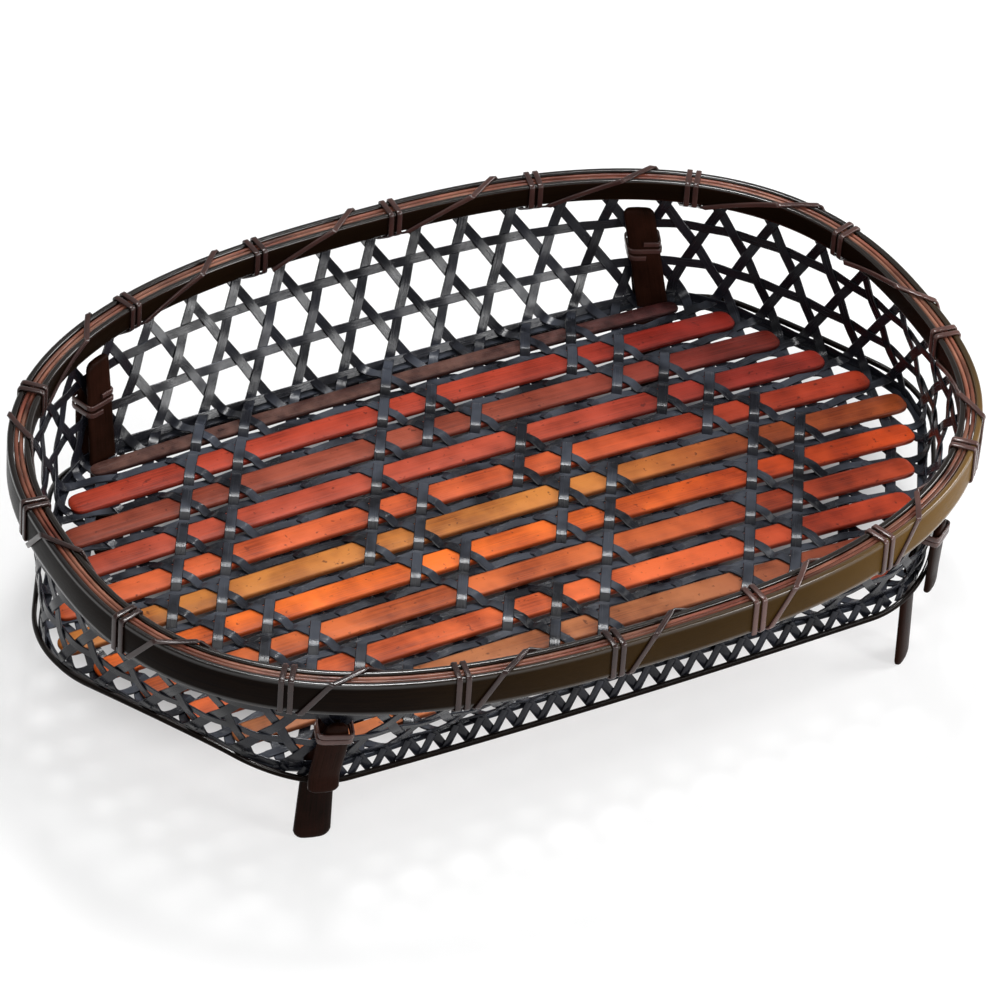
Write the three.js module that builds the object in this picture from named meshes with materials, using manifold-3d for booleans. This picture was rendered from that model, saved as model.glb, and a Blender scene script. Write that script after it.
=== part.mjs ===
// Footed serving basket in open hexagonal weave. A domed floor weave carries eleven slats, some of
// its strips cross over them, a low wall net rises to a rim of two hoops with a filler strip between,
// all lashed together, and a base hoop and four lashed legs hold it up.
// Millimetres. +X runs along the slats, +Y to the back, +Z up. The feet stand on z = 0 and the
// origin is under the middle of the basket.

import * as THREE from 'three';
import Module from 'manifold-3d';

const wasm = await Module();
wasm.setup();

// Weave: the spacing of its openings along a row, and the width and thickness of its strips.
const PITCH = 21;
const FLOOR_STRIP_WIDTH = 4.5;
const FLOOR_THICKNESS = 1.2;
const WALL_STRIP_WIDTH = 4;
const WALL_THICKNESS = 1.6;
const WALL_ROWS = 3;
const TOP_ROW_SHARE = 0.75;
const TOP_BORDER = 1.8;

// Floor: a long hexagon with 60 degree ends and rounded corners, crowned in the middle.
const BASE_HALF_LENGTH = 194.25;
const BASE_HALF_WIDTH = 100;
const BASE_CORNER_RADIUS = 42;
const FOOT_HEIGHT = 42;
const FLOOR_CROWN = 5.1;
const BORDER_REACH_IN = 3;
const BORDER_REACH_OUT = 0.8;
const BORDER_EXTRA = 0.25;

// Slats laid on the floor weave, and the strips of the weave that cross over them.
const SLAT_WIDTH = 11.5;
const EDGE_SLAT_WIDTH = 7.2;
const SLAT_THICKNESS = 2.2;
const SLAT_END_GAP = 3;
const SLAT_END_ROUND = 2.5;
const SLAT_SPANS = 5;
const CROSSING_WIDTH = 4.2;
const CROSSING_THICKNESS = 1;

// Rings of crossings over the slats, in cells from the middle; the inner ring tucks under one row.
const CENTRE_RINGS = [1.5, 2.5];
const END_RINGS = [5.5, 6.5];
const TUCKED_ROW = 2;

// Rim: a superellipse, measured on the outer face of the outer hoop, a little inside the floor's
// rounded-off tips and far outside its long sides. Heights are above the floor.
const RIM_END_FLARE = -4.85;
const RIM_SIDE_FLARE = 36.9;
const RIM_POWER = 2.5;
const RIM_TOP = 54.8;
const HOOP_THICKNESS = 2.4;
const OUTER_HOOP_HEIGHT = 14.7;
const INNER_HOOP_HEIGHT = 9.7;
const FILLER_WIDTH = 3.6;
const FILLER_HEIGHT = 3;
const FILLER_DROP = 0.5;
const RIM_SIDES = 60;

// How far the wall's cells run ahead of even spacing along the rim, in cells.
const RIM_SHIFT = 0.4;

// Lashing: two wraps side by side at each station, then one long slanting turn to the next.
const LASH_WIDTH = 2.2;
const LASH_THICKNESS = 0.9;
const LASH_SPACING = 3.6;
const LASH_CELLS = 3;
const FIRST_STATION = 2;
const LASH_UNDER_GAP = 0.5;
const SLANT_START = 5.4;
const SLANT_WIDENING = 1.3;
const SLANT_OUTER_SHARE = 0.25;
const SLANT_INNER_SHARE = 0.45;

// Base hoop and legs. Three legs lean inward below the floor; the fourth stands some cells nearer
// the end than the others and stands askew, leaning outward and sideways.
const BASE_HOOP_THICKNESS = 2.7;
const BASE_HOOP_DEPTH = 6;
const LEG_WIDTH = 12.5;
const LEG_THICKNESS = 3;
const LEG_TOP_DROP = 4;
const LEG_LEAN = 0.12;
const ASKEW_SPLAY = 0.05;
const ASKEW_SLANT = 0.125;
const LEG_SHIFT_CELLS = 1;
const FOOT_WIDTH = 14.5;
const FOOT_ROUND = 3;
const FOOT_NARROWING = 4;
const CLEAT_WIDTH = 12;
const CLEAT_THICKNESS = 3;
const CLEAT_OVERHANG = 0.6;
const CLEAT_TIP_WIDTH = 6.5;
const CLEAT_TIP_RISE = 4;
const STRIP_END_ROUND = 1.5;
const BINDING_ROW = 1.45;
const BINDING_TURNS = 2;
const BINDING_RISE = 2.9;

// The gap that touching pieces keep.
const CLEARANCE = 0.3;

// Sizes that follow from those above.
const ROW = (PITCH * Math.sqrt(3)) / 2;
const RIM_HALF_LENGTH = BASE_HALF_LENGTH + RIM_END_FLARE;
const RIM_HALF_WIDTH = BASE_HALF_WIDTH + RIM_SIDE_FLARE;
const RIM_THICKNESS = 2 * HOOP_THICKNESS + FILLER_WIDTH + 2 * CLEARANCE;
const OUTER_HOOP_BOTTOM = RIM_TOP - OUTER_HOOP_HEIGHT;
const INNER_HOOP_BOTTOM = RIM_TOP - INNER_HOOP_HEIGHT;
const WALL_RIM_OFFSET = -RIM_THICKNESS / 2;
const WALL_TOP = RIM_TOP - FILLER_DROP - FILLER_HEIGHT - CLEARANCE;
const CLAMP_ROW = WALL_ROWS - 1 + TOP_ROW_SHARE;
const BASE_HOOP_INNER = Math.max(WALL_THICKNESS / 2, BORDER_REACH_OUT) + CLEARANCE;
const BASE_HOOP_OUTER = BASE_HOOP_INNER + BASE_HOOP_THICKNESS;
const OUTERMOST_ROW = Math.floor((BASE_HALF_WIDTH - SLAT_WIDTH / 2) / ROW);

const lerp = (a, b, share) => a + (b - a) * share;

// Outlines in plan

/** The outward mitre at a corner: moving the corner along it by d moves both sides outward by d. */
function mitre(before, corner, after) {
  const first = new THREE.Vector2(corner.y - before.y, before.x - corner.x).normalize();
  const second = new THREE.Vector2(after.y - corner.y, corner.x - after.x).normalize();
  const scale = 1 / (1 + first.dot(second));
  return first.add(second).multiplyScalar(scale);
}

/** A closed outline of equal sides, read by the share of the way round from its right-hand end. */
class Outline {
  constructor(curve, sides) {
    this.sides = sides;
    this.points = curve.getSpacedPoints(sides).slice(0, sides);
    this.mitres = this.points.map((point, i) => {
      const before = this.points[(i + sides - 1) % sides];
      const after = this.points[(i + 1) % sides];
      return mitre(before, point, after);
    });
    this.length = sides * this.points[0].distanceTo(this.points[1]);
  }

  corner(i, offset) {
    return this.points[i].clone().addScaledVector(this.mitres[i], offset);
  }

  at(share, offset = 0) {
    const place = (share - Math.floor(share)) * this.sides;
    const i = Math.floor(place) % this.sides;
    const next = (i + 1) % this.sides;
    return this.corner(i, offset).lerp(this.corner(next, offset), place - Math.floor(place));
  }

  normal(share) {
    return this.at(share, 1).sub(this.at(share)).normalize();
  }

  /** How far a flat strip of this width must stay inside the outline to clear its curve. */
  sag(share, width) {
    const centre = this.at(share);
    const edge = this.at(share + width / 2 / this.length);
    return -edge.sub(centre).dot(this.normal(share));
  }

  /** The greatest x that the outline reaches at a distance y from its long axis. */
  reach(y) {
    let reach = 0;
    for (let i = 0; i < this.sides; i++) {
      const here = this.points[i];
      const next = this.points[(i + 1) % this.sides];
      if ((here.y - y) * (next.y - y) <= 0 && here.y !== next.y) {
        reach = Math.max(reach, lerp(here.x, next.x, (y - here.y) / (next.y - here.y)));
      }
    }
    return reach;
  }
}

/** The long hexagon of the floor, with every corner rounded to one radius. */
function hexagonPath() {
  const corner = BASE_HALF_LENGTH - BASE_HALF_WIDTH / Math.sqrt(3);
  const across = [0, BASE_HALF_WIDTH, BASE_HALF_WIDTH, 0, -BASE_HALF_WIDTH, -BASE_HALF_WIDTH];
  const along = [BASE_HALF_LENGTH, corner, -corner, -BASE_HALF_LENGTH, -corner, corner];
  const inset = BASE_CORNER_RADIUS / Math.cos(Math.PI / 6);
  const path = new THREE.Path();
  for (let k = 0; k <= 6; k++) {
    const turn = (k * Math.PI) / 3;
    const x = along[k % 6] - inset * Math.cos(turn);
    const y = across[k % 6] - inset * Math.sin(turn);
    const start = k === 0 ? turn : turn - Math.PI / 6;
    const end = k === 6 ? turn : turn + Math.PI / 6;
    path.absarc(x, y, BASE_CORNER_RADIUS, start, end, false);
  }
  return path;
}

/** A superellipse about the origin. */
class Superellipse extends THREE.Curve {
  constructor(halfLength, halfWidth, power) {
    super();
    this.halfLength = halfLength;
    this.halfWidth = halfWidth;
    this.power = power;
    this.arcLengthDivisions = 2000;
  }

  getPoint(t, target = new THREE.Vector2()) {
    const angle = 2 * Math.PI * t;
    const along = Math.abs(Math.cos(angle) / this.halfLength) ** this.power;
    const across = Math.abs(Math.sin(angle) / this.halfWidth) ** this.power;
    const radius = (along + across) ** (-1 / this.power);
    return target.set(radius * Math.cos(angle), radius * Math.sin(angle));
  }
}

// The wall has a whole number of openings round it, the same in each quarter, and the base outline
// has two sides to each of them. Places round the basket are counted in these cells.
const basePath = hexagonPath();
const CELLS = 12 * Math.round(basePath.getLength() / (12 * PITCH));
const baseOutline = new Outline(basePath, 2 * CELLS);
const rimOutline = new Outline(new Superellipse(RIM_HALF_LENGTH, RIM_HALF_WIDTH, RIM_POWER), RIM_SIDES);

// Three legs stand just before the end of a long side, the last one just round its corner.
const SLANT_LENGTH = BASE_HALF_WIDTH / Math.sin(Math.PI / 3);
const CORNER_SAVING = 2 * BASE_CORNER_RADIUS * (Math.tan(Math.PI / 6) - Math.PI / 6);
const FIRST_CORNER = (SLANT_LENGTH - CORNER_SAVING) / basePath.getLength();
const FIRST_LEG = Math.ceil(FIRST_CORNER * CELLS);
const LEG_CELLS = {
  back_right: FIRST_LEG,
  back_left: CELLS / 2 - FIRST_LEG,
  front_left: CELLS / 2 + FIRST_LEG,
  front_right: CELLS - FIRST_LEG + LEG_SHIFT_CELLS,
};

const baseShare = (cell) => cell / CELLS;
const rimShare = (cell) => (cell + RIM_SHIFT * Math.sin((4 * Math.PI * cell) / CELLS)) / CELLS;

/** Height of the crowned floor's upper face. */
function crown(x, y) {
  return FLOOR_CROWN * (1 - (x / RIM_HALF_LENGTH) ** 2 - (y / RIM_HALF_WIDTH) ** 2);
}

/** Height of the floor's edge at a share of the way round. */
function edgeHeight(share) {
  const point = baseOutline.at(share);
  return crown(point.x, point.y);
}

/** Height of the wall's lower edge: it stands on the floor's border. */
const wallBottom = (cell) => edgeHeight(baseShare(cell)) + BORDER_EXTRA + CLEARANCE;

// Solids

/** An indexed geometry of a closed surface, turned so that its faces point out. */
function closedGeometry(positions, index) {
  let volume = 0;
  const corner = (i) => new THREE.Vector3(...positions.slice(3 * i, 3 * i + 3));
  for (let i = 0; i < index.length; i += 3) {
    volume += corner(index[i]).dot(corner(index[i + 1]).cross(corner(index[i + 2])));
  }
  const facing = volume > 0 ? index : [...index].reverse();
  const geometry = new THREE.BufferGeometry();
  geometry.setAttribute('position', new THREE.BufferAttribute(new Float32Array(positions), 3));
  geometry.setIndex(new THREE.BufferAttribute(new Uint32Array(facing), 1));
  return geometry;
}

/** A solid through a row of sections with equal counts of corners, closed on itself or capped. */
function loft(sections, closed) {
  const around = sections[0].length;
  const spans = closed ? sections.length : sections.length - 1;
  const index = [];
  for (let i = 0; i < spans; i++) {
    const here = i * around;
    const next = ((i + 1) % sections.length) * around;
    for (let k = 0; k < around; k++) {
      const m = (k + 1) % around;
      index.push(here + k, here + m, next + m);
      index.push(here + k, next + m, next + k);
    }
  }
  const last = (sections.length - 1) * around;
  for (let k = 1; k < around - 1 && !closed; k++) {
    index.push(0, k + 1, k);
    index.push(last, last + k, last + k + 1);
  }
  return closedGeometry(sections.flat().flatMap((point) => point.toArray()), index);
}

/** A plate made from flat polygons that share corners; place(u, v, side) puts a corner of the
 * outer face (side 1) or of the inner face (side -1). wrap is the u at which the plate meets itself. */
function plate(polygons, place, wrap = Infinity) {
  const numbers = new Map();
  const corners = [];
  const faces = [];
  const numberOf = ([u, v]) => {
    const around = wrap === Infinity ? u : ((u % wrap) + wrap) % wrap;
    const key = `${Math.round(around * 1e4)} ${Math.round(v * 1e4)}`;
    if (!numbers.has(key)) {
      numbers.set(key, corners.length);
      corners.push([around, v]);
    }
    return numbers.get(key);
  };
  for (const polygon of polygons) {
    const ring = polygon.map(numberOf);
    for (let k = 1; k < ring.length - 1; k++) {
      faces.push([ring[0], ring[k], ring[k + 1]]);
    }
  }
  const edges = new Map();
  for (const [a, b, c] of faces) {
    edges.set(`${a} ${b}`, [a, b]);
    edges.set(`${b} ${c}`, [b, c]);
    edges.set(`${c} ${a}`, [c, a]);
  }
  const count = corners.length;
  const index = [];
  for (const [a, b, c] of faces) {
    index.push(a, b, c);
    index.push(c + count, b + count, a + count);
  }
  for (const [a, b] of edges.values()) {
    if (!edges.has(`${b} ${a}`)) {
      index.push(b, a, a + count);
      index.push(b, a + count, b + count);
    }
  }
  const outer = corners.flatMap(([u, v]) => place(u, v, 1).toArray());
  const inner = corners.flatMap(([u, v]) => place(u, v, -1).toArray());
  return closedGeometry([...outer, ...inner], index);
}

/** The corners of a rectangle in offset and height. */
function rectangle(inner, outer, bottom, top) {
  return [[inner, bottom], [outer, bottom], [outer, top], [inner, top]];
}

/** A hoop that follows an outline; section(share) gives its corners as offset and height. */
function hoop(outline, section) {
  const sections = outline.points.map((_, i) => section(i / outline.sides).map(([offset, z]) => {
    const point = outline.corner(i, offset);
    return new THREE.Vector3(point.x, point.y, z);
  }));
  return loft(sections, true);
}

/** A wound strip through turning points, each with its inner and outer face and its half width. */
function winding(turns) {
  return loft(turns.map(({ inner, outer, side }) => [
    inner.clone().sub(side),
    inner.clone().add(side),
    outer.clone().add(side),
    outer.clone().sub(side),
  ]), false);
}

/** The least distance between stretches of a wound strip that aren't next to each other. */
function leastGap(turns) {
  const steps = 8;
  const faces = [];
  for (let i = 0; i + 1 < turns.length; i++) {
    for (let k = 0; k <= steps; k++) {
      const inner = turns[i].inner.clone().lerp(turns[i + 1].inner, k / steps);
      const outer = turns[i].outer.clone().lerp(turns[i + 1].outer, k / steps);
      const side = turns[i].side.clone().lerp(turns[i + 1].side, k / steps);
      for (const across of [-1, 0, 1]) {
        faces.push({ stretch: i, point: inner.clone().addScaledVector(side, across) });
        faces.push({ stretch: i, point: outer.clone().addScaledVector(side, across) });
      }
    }
  }
  let gap = Infinity;
  for (const one of faces) {
    for (const other of faces) {
      if (other.stretch > one.stretch + 1) {
        gap = Math.min(gap, one.point.distanceTo(other.point));
      }
    }
  }
  return gap;
}

function toSolid(geometry) {
  const vertProperties = geometry.attributes.position.array;
  return new wasm.Manifold(new wasm.Mesh({ numProp: 3, vertProperties, triVerts: geometry.index.array }));
}

function toGeometry(solid) {
  const mesh = solid.getMesh();
  const geometry = new THREE.BufferGeometry();
  geometry.setAttribute('position', new THREE.BufferAttribute(mesh.vertProperties.slice(), 3));
  geometry.setIndex(new THREE.BufferAttribute(mesh.triVerts.slice(), 1));
  return geometry;
}

// Looks

const finish = (color, roughness) => new THREE.MeshStandardMaterial({ color, roughness, metalness: 0 });
const weaveFinish = finish('#2c2e33', 0.45);
const crossingFinish = finish('#33363c', 0.4);
const hoopFinish = finish('#2e2118', 0.4);
const fillerFinish = finish('#8f4d3a', 0.6);
const lashFinish = finish('#331812', 0.4);
const legFinish = finish('#33201a', 0.5);
const slatColors = [
  '#4a2a1c', '#8c3a22', '#7d3c26', '#9a3f22', '#b0512a', '#b98138',
  '#bd6a2c', '#9c5a2e', '#a84a24', '#b8702e', '#a9652c',
];

// Open hexagonal weave, drawn in cells: a row's openings lie one cell apart, the rows lie one apart,
// and each row is half a cell along from the last.

/** How much smaller an opening is than its cell, with strips of this width between. */
const openingScale = (stripWidth) => 1 - (2 * stripWidth) / (Math.sqrt(3) * PITCH);

/** The corners of an opening, anticlockwise from the right; top cuts it off level. */
function opening(u, v, scale, top = Infinity) {
  const half = scale / 2;
  const rise = Math.min(half, top - v);
  const lean = lerp(half, half / 2, rise / half);
  return [
    [u + half, v], [u + lean, v + rise], [u - lean, v + rise],
    [u - half, v], [u - half / 2, v - half], [u + half / 2, v - half],
  ];
}

/** The weave above the place where two openings of a row meet. */
const weaveAbove = (left, right, up) => [left[0], right[3], right[2], up[5], up[4], left[1]];

/** The weave below the place where two openings of a row meet. */
const weaveBelow = (left, right, low) => [low[2], low[1], right[4], right[3], left[0], left[5]];

function floorPolygons() {
  const scale = openingScale(FLOOR_STRIP_WIDTH);
  const rows = Math.ceil(BASE_HALF_WIDTH / ROW);
  const cells = Math.ceil(BASE_HALF_LENGTH / PITCH) + 1;
  const polygons = [];
  for (let row = -rows; row <= rows; row++) {
    const shift = row % 2 === 0 ? 0 : 0.5;
    for (let n = -cells; n < cells; n++) {
      const left = opening(n + shift, row, scale);
      const right = opening(n + 1 + shift, row, scale);
      polygons.push(weaveAbove(left, right, opening(n + 0.5 + shift, row + 1, scale)));
      polygons.push(weaveBelow(left, right, opening(n + 0.5 + shift, row - 1, scale)));
    }
  }
  return polygons;
}

function wallPolygons() {
  const scale = openingScale(WALL_STRIP_WIDTH);
  const rowHeight = INNER_HOOP_BOTTOM / CLAMP_ROW;
  const top = CLAMP_ROW - TOP_BORDER / rowHeight;
  const at = (row, n) => opening(n + (row % 2) / 2, row + 0.5, scale, top);
  const polygons = [];
  for (let n = 0; n < CELLS; n++) {
    for (let row = 0; row < WALL_ROWS; row++) {
      const left = at(row, n);
      const right = at(row, n + 1);
      const across = n + (row % 2);
      if (row > 0) {
        polygons.push(weaveBelow(left, right, at(row - 1, across)));
      } else {
        polygons.push([[left[4][0], 0], [left[5][0], 0], left[5], left[4]]);
        polygons.push([[left[5][0], 0], [right[4][0], 0], right[4], right[3], left[0], left[5]]);
      }
      if (row < WALL_ROWS - 1) {
        polygons.push(weaveAbove(left, right, at(row + 1, across)));
      } else {
        const border = [left[2][0], left[1][0], right[2][0]].map((u) => [u, CLAMP_ROW]);
        const rim = border.map(([u]) => [u, WALL_ROWS]);
        polygons.push([left[2], left[1], border[1], border[0]]);
        polygons.push([left[0], right[3], right[2], border[2], border[1], left[1]]);
        polygons.push([border[0], border[1], rim[1], rim[0]]);
        polygons.push([border[1], border[2], rim[2], rim[1]]);
      }
    }
  }
  return polygons;
}

/** A point of the wall: it rises in a straight line from the base outline to the rim, then upright. */
function wallPoint(cell, row, side) {
  const offset = (side * WALL_THICKNESS) / 2;
  const low = baseOutline.at(baseShare(cell), offset);
  const high = rimOutline.at(rimShare(cell), WALL_RIM_OFFSET + offset);
  const share = Math.min(row / CLAMP_ROW, 1);
  const plan = low.lerp(high, share);
  const z = row > CLAMP_ROW ? WALL_TOP : lerp(wallBottom(cell), INNER_HOOP_BOTTOM, share);
  return new THREE.Vector3(plan.x, plan.y, z);
}

// Legs

const isAskew = (cell) => cell === LEG_CELLS.front_right;
const legLean = (cell) => (isAskew(cell) ? -ASKEW_SPLAY : LEG_LEAN);
const legSlant = (cell) => (isAskew(cell) ? ASKEW_SLANT : 0);

/** Where a leg is at a height: the middle of the wall there, the outward and the sideways way. */
function legFrame(cell, z) {
  const bottom = wallBottom(cell);
  const share = THREE.MathUtils.clamp((z - bottom) / (INNER_HOOP_BOTTOM - bottom), 0, 1);
  const outward = baseOutline.normal(baseShare(cell)).lerp(rimOutline.normal(rimShare(cell)), share);
  outward.normalize();
  const low = baseOutline.at(baseShare(cell));
  const centre = low.lerp(rimOutline.at(rimShare(cell), WALL_RIM_OFFSET), share);
  const sideways = new THREE.Vector2(-outward.y, outward.x);
  const below = Math.min(z - bottom, 0);
  centre.addScaledVector(outward, legLean(cell) * below);
  centre.addScaledVector(sideways, legSlant(cell) * below);
  return { centre, outward, sideways };
}

/** A point beside a leg's middle. */
function legPoint(cell, z, across, offset) {
  const { centre, outward, sideways } = legFrame(cell, z);
  const plan = centre.addScaledVector(sideways, across).addScaledVector(outward, offset);
  return new THREE.Vector3(plan.x, plan.y, z);
}

/** An upright strip from levels, each with its height, width and the offsets of its two faces. */
function uprightStrip(cell, levels) {
  return loft(levels.map(({ z, width, inner, outer }) => [
    legPoint(cell, z, -width / 2, inner),
    legPoint(cell, z, width / 2, inner),
    legPoint(cell, z, width / 2, outer),
    legPoint(cell, z, -width / 2, outer),
  ]), false);
}

const LEG_TOP = INNER_HOOP_BOTTOM - LEG_TOP_DROP;
const legSags = Object.values(LEG_CELLS).map((cell) => baseOutline.sag(baseShare(cell), LEG_WIDTH));
const LEG_SAG = Math.max(...legSags);
const LEG_OUTER_OFFSET = -(WALL_THICKNESS / 2 + CLEARANCE + LEG_SAG);
const LEG_INNER_OFFSET = LEG_OUTER_OFFSET - LEG_THICKNESS;
const CLEAT_BOTTOM = -BASE_HOOP_DEPTH - CLEAT_OVERHANG;
const CLEAT_TOP_OFFSET = WALL_THICKNESS / 2 + CLEARANCE;
const CLEAT_LOW_OFFSET = BASE_HOOP_OUTER + CLEARANCE;

/** The heights between which the binding is wound. */
function bindingHeights(cell) {
  const middle = lerp(wallBottom(cell), INNER_HOOP_BOTTOM, BINDING_ROW / CLAMP_ROW);
  const half = (BINDING_TURNS * BINDING_RISE) / 2;
  return [middle - half, middle + half];
}

/** The height of the top of a leg's short strip, a little over the binding. */
const cleatTop = (cell) => bindingHeights(cell)[1] + CLEAT_TIP_RISE;

/** The long strip of a leg, inside the wall from under the rim down to the foot. */
function legStrip(cell, grow = 0) {
  const inner = LEG_INNER_OFFSET - grow;
  const outer = LEG_OUTER_OFFSET + grow;
  const width = LEG_WIDTH + 2 * grow;
  const foot = [0, Math.PI / 4, Math.PI / 2].map((turn) => ({
    z: -FOOT_HEIGHT + FOOT_ROUND * (1 - Math.cos(turn)),
    width: FOOT_WIDTH + 2 * grow - FOOT_NARROWING * (1 - Math.sin(turn)),
    inner,
    outer,
  }));
  return uprightStrip(cell, [
    ...foot,
    { z: wallBottom(cell), width, inner, outer },
    ...bindingHeights(cell).map((z) => ({ z, width, inner, outer })),
    { z: LEG_TOP - STRIP_END_ROUND, width, inner, outer },
    { z: LEG_TOP + grow, width: width - 2 * STRIP_END_ROUND, inner, outer },
  ]);
}

/** How far outside the leg's middle its short outer strip starts: upright beside the base hoop. */
function cleatOffset(cell, z) {
  const above = z - wallBottom(cell);
  const share = THREE.MathUtils.clamp(above / (cleatTop(cell) - wallBottom(cell)), 0, 1);
  return lerp(CLEAT_LOW_OFFSET, CLEAT_TOP_OFFSET, share) - legLean(cell) * Math.min(above, 0);
}

/** The short strip of a leg, outside the wall and the base hoop, narrowing from the binding up. */
function cleat(cell) {
  const top = cleatTop(cell);
  const [taper] = bindingHeights(cell);
  const heights = [CLEAT_BOTTOM, CLEAT_BOTTOM + STRIP_END_ROUND, wallBottom(cell),
    ...bindingHeights(cell), top - STRIP_END_ROUND, top];
  return uprightStrip(cell, heights.map((z) => {
    const share = THREE.MathUtils.clamp((z - taper) / (top - taper), 0, 1);
    const rounding = z === CLEAT_BOTTOM || z === top ? 2 * STRIP_END_ROUND : 0;
    const inner = cleatOffset(cell, z);
    const width = lerp(CLEAT_WIDTH, CLEAT_TIP_WIDTH, share) - rounding;
    return { z, width, inner, outer: inner + CLEAT_THICKNESS };
  }));
}

/** The turns of the binding that ties a leg's two strips together through the wall. */
function bindingTurns(cell) {
  const half = Math.max(LEG_WIDTH, CLEAT_WIDTH) / 2;
  const [start] = bindingHeights(cell);
  const corners = [[1, -1], [1, 1], [-1, 1], [-1, -1]];
  const path = [[0, -1, 0]];
  for (let k = 0; k < 4 * BINDING_TURNS; k++) {
    path.push([...corners[k % 4], (k + 0.5) / 4]);
  }
  path.push([0, -1, BINDING_TURNS]);
  return path.map(([across, out, turn]) => {
    const z = start + BINDING_RISE * turn;
    const at = (gap, rise = 0) => {
      const face = out > 0 ? cleatOffset(cell, z + rise) + CLEAT_THICKNESS : LEG_INNER_OFFSET;
      return legPoint(cell, z + rise, across * (half + gap), face + out * gap);
    };
    const side = at(CLEARANCE, LASH_WIDTH / 2).sub(at(CLEARANCE, -LASH_WIDTH / 2)).divideScalar(2);
    return { inner: at(CLEARANCE), outer: at(CLEARANCE + LASH_THICKNESS), side };
  });
}

// Rim lashing

const UNDER_DROP = INNER_HOOP_BOTTOM - OUTER_HOOP_BOTTOM;
const UNDER_MITRE = Math.tan(Math.atan2(UNDER_DROP, RIM_THICKNESS - HOOP_THICKNESS) / 2);

/** Where the lashing turns round the rim, as offset and height, a gap away from the hoops. */
const lashCorners = {
  outerBottom: (gap) => [gap, OUTER_HOOP_BOTTOM - gap],
  outerMiddle: (gap) => [gap, (OUTER_HOOP_BOTTOM + RIM_TOP) / 2],
  outerTop: (gap) => [gap, RIM_TOP + gap],
  innerTop: (gap) => [-RIM_THICKNESS - gap, RIM_TOP + gap],
  innerMiddle: (gap) => [-RIM_THICKNESS - gap, (INNER_HOOP_BOTTOM + RIM_TOP) / 2],
  innerBottom: (gap) => [-RIM_THICKNESS - gap, INNER_HOOP_BOTTOM - gap],
  under: (gap) => [-HOOP_THICKNESS - LASH_UNDER_GAP - gap * UNDER_MITRE, OUTER_HOOP_BOTTOM - gap],
};

/** The turns of the lashing over the stations of one quarter of the rim. */
function lashingTurns(firstCell, stations) {
  const turns = [];
  const add = (corner, share, widening = 1) => {
    const at = (gap) => {
      const [offset, z] = lashCorners[corner](gap);
      const plan = rimOutline.at(share, offset);
      return new THREE.Vector3(plan.x, plan.y, z);
    };
    const normal = rimOutline.normal(share);
    const half = (widening * LASH_WIDTH) / 2;
    const side = new THREE.Vector3(-normal.y * half, normal.x * half, 0);
    turns.push({ inner: at(CLEARANCE), outer: at(CLEARANCE + LASH_THICKNESS), side });
  };
  for (let k = 0; k < stations; k++) {
    const here = rimShare(firstCell + k * LASH_CELLS);
    const span = (rimShare(firstCell + (k + 1) * LASH_CELLS) - here) * rimOutline.length;
    const along = (distance) => here + distance / rimOutline.length;
    for (const wrap of [-LASH_SPACING / 2, LASH_SPACING / 2]) {
      const after = wrap < 0 ? -wrap : SLANT_START;
      for (const corner of ['outerBottom', 'outerTop', 'innerTop', 'innerBottom']) {
        add(corner, along(wrap));
      }
      add('under', along((wrap + after) / 2));
    }
    const outerTop = SLANT_OUTER_SHARE * span;
    const innerTop = SLANT_INNER_SHARE * span;
    const innerBottom = span - SLANT_START;
    add('outerBottom', along(SLANT_START), SLANT_WIDENING);
    add('outerMiddle', along((SLANT_START + outerTop) / 2), SLANT_WIDENING);
    add('outerTop', along(outerTop), SLANT_WIDENING);
    add('innerTop', along(innerTop), SLANT_WIDENING);
    add('innerMiddle', along((innerTop + innerBottom) / 2), SLANT_WIDENING);
    add('innerBottom', along(innerBottom), SLANT_WIDENING);
    if (k < stations - 1) {
      add('under', along(span - (SLANT_START + LASH_SPACING / 2) / 2));
    }
  }
  return turns;
}

// Slats and the strips over them

/** A slat in a row of the weave, following the crown, with its ends drawn in. */
function slat(row) {
  const edge = Math.abs(row) === OUTERMOST_ROW;
  const width = edge ? EDGE_SLAT_WIDTH : SLAT_WIDTH;
  const y = row * ROW - (Math.sign(row) * (SLAT_WIDTH - width)) / 2;
  const outerY = Math.abs(y) + width / 2;
  const legReach = legPoint(LEG_CELLS.front_right, 0, -LEG_WIDTH / 2, LEG_INNER_OFFSET).x;
  const reach = baseOutline.reach(outerY);
  const half = (edge ? Math.min(legReach, reach) : reach) - SLAT_END_GAP;
  const body = half - SLAT_END_ROUND;
  const stops = [[-half, width - 2 * SLAT_END_ROUND]];
  for (let k = 0; k <= SLAT_SPANS; k++) {
    stops.push([lerp(-body, body, k / SLAT_SPANS), width]);
  }
  stops.push([half, width - 2 * SLAT_END_ROUND]);
  return loft(stops.map(([x, across]) => {
    const corner = (side, rise) => {
      const edgeY = y + (side * across) / 2;
      return new THREE.Vector3(x, edgeY, crown(x, edgeY) + CLEARANCE + rise);
    };
    return [corner(-1, 0), corner(1, 0), corner(1, SLAT_THICKNESS), corner(-1, SLAT_THICKNESS)];
  }), false);
}

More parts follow.
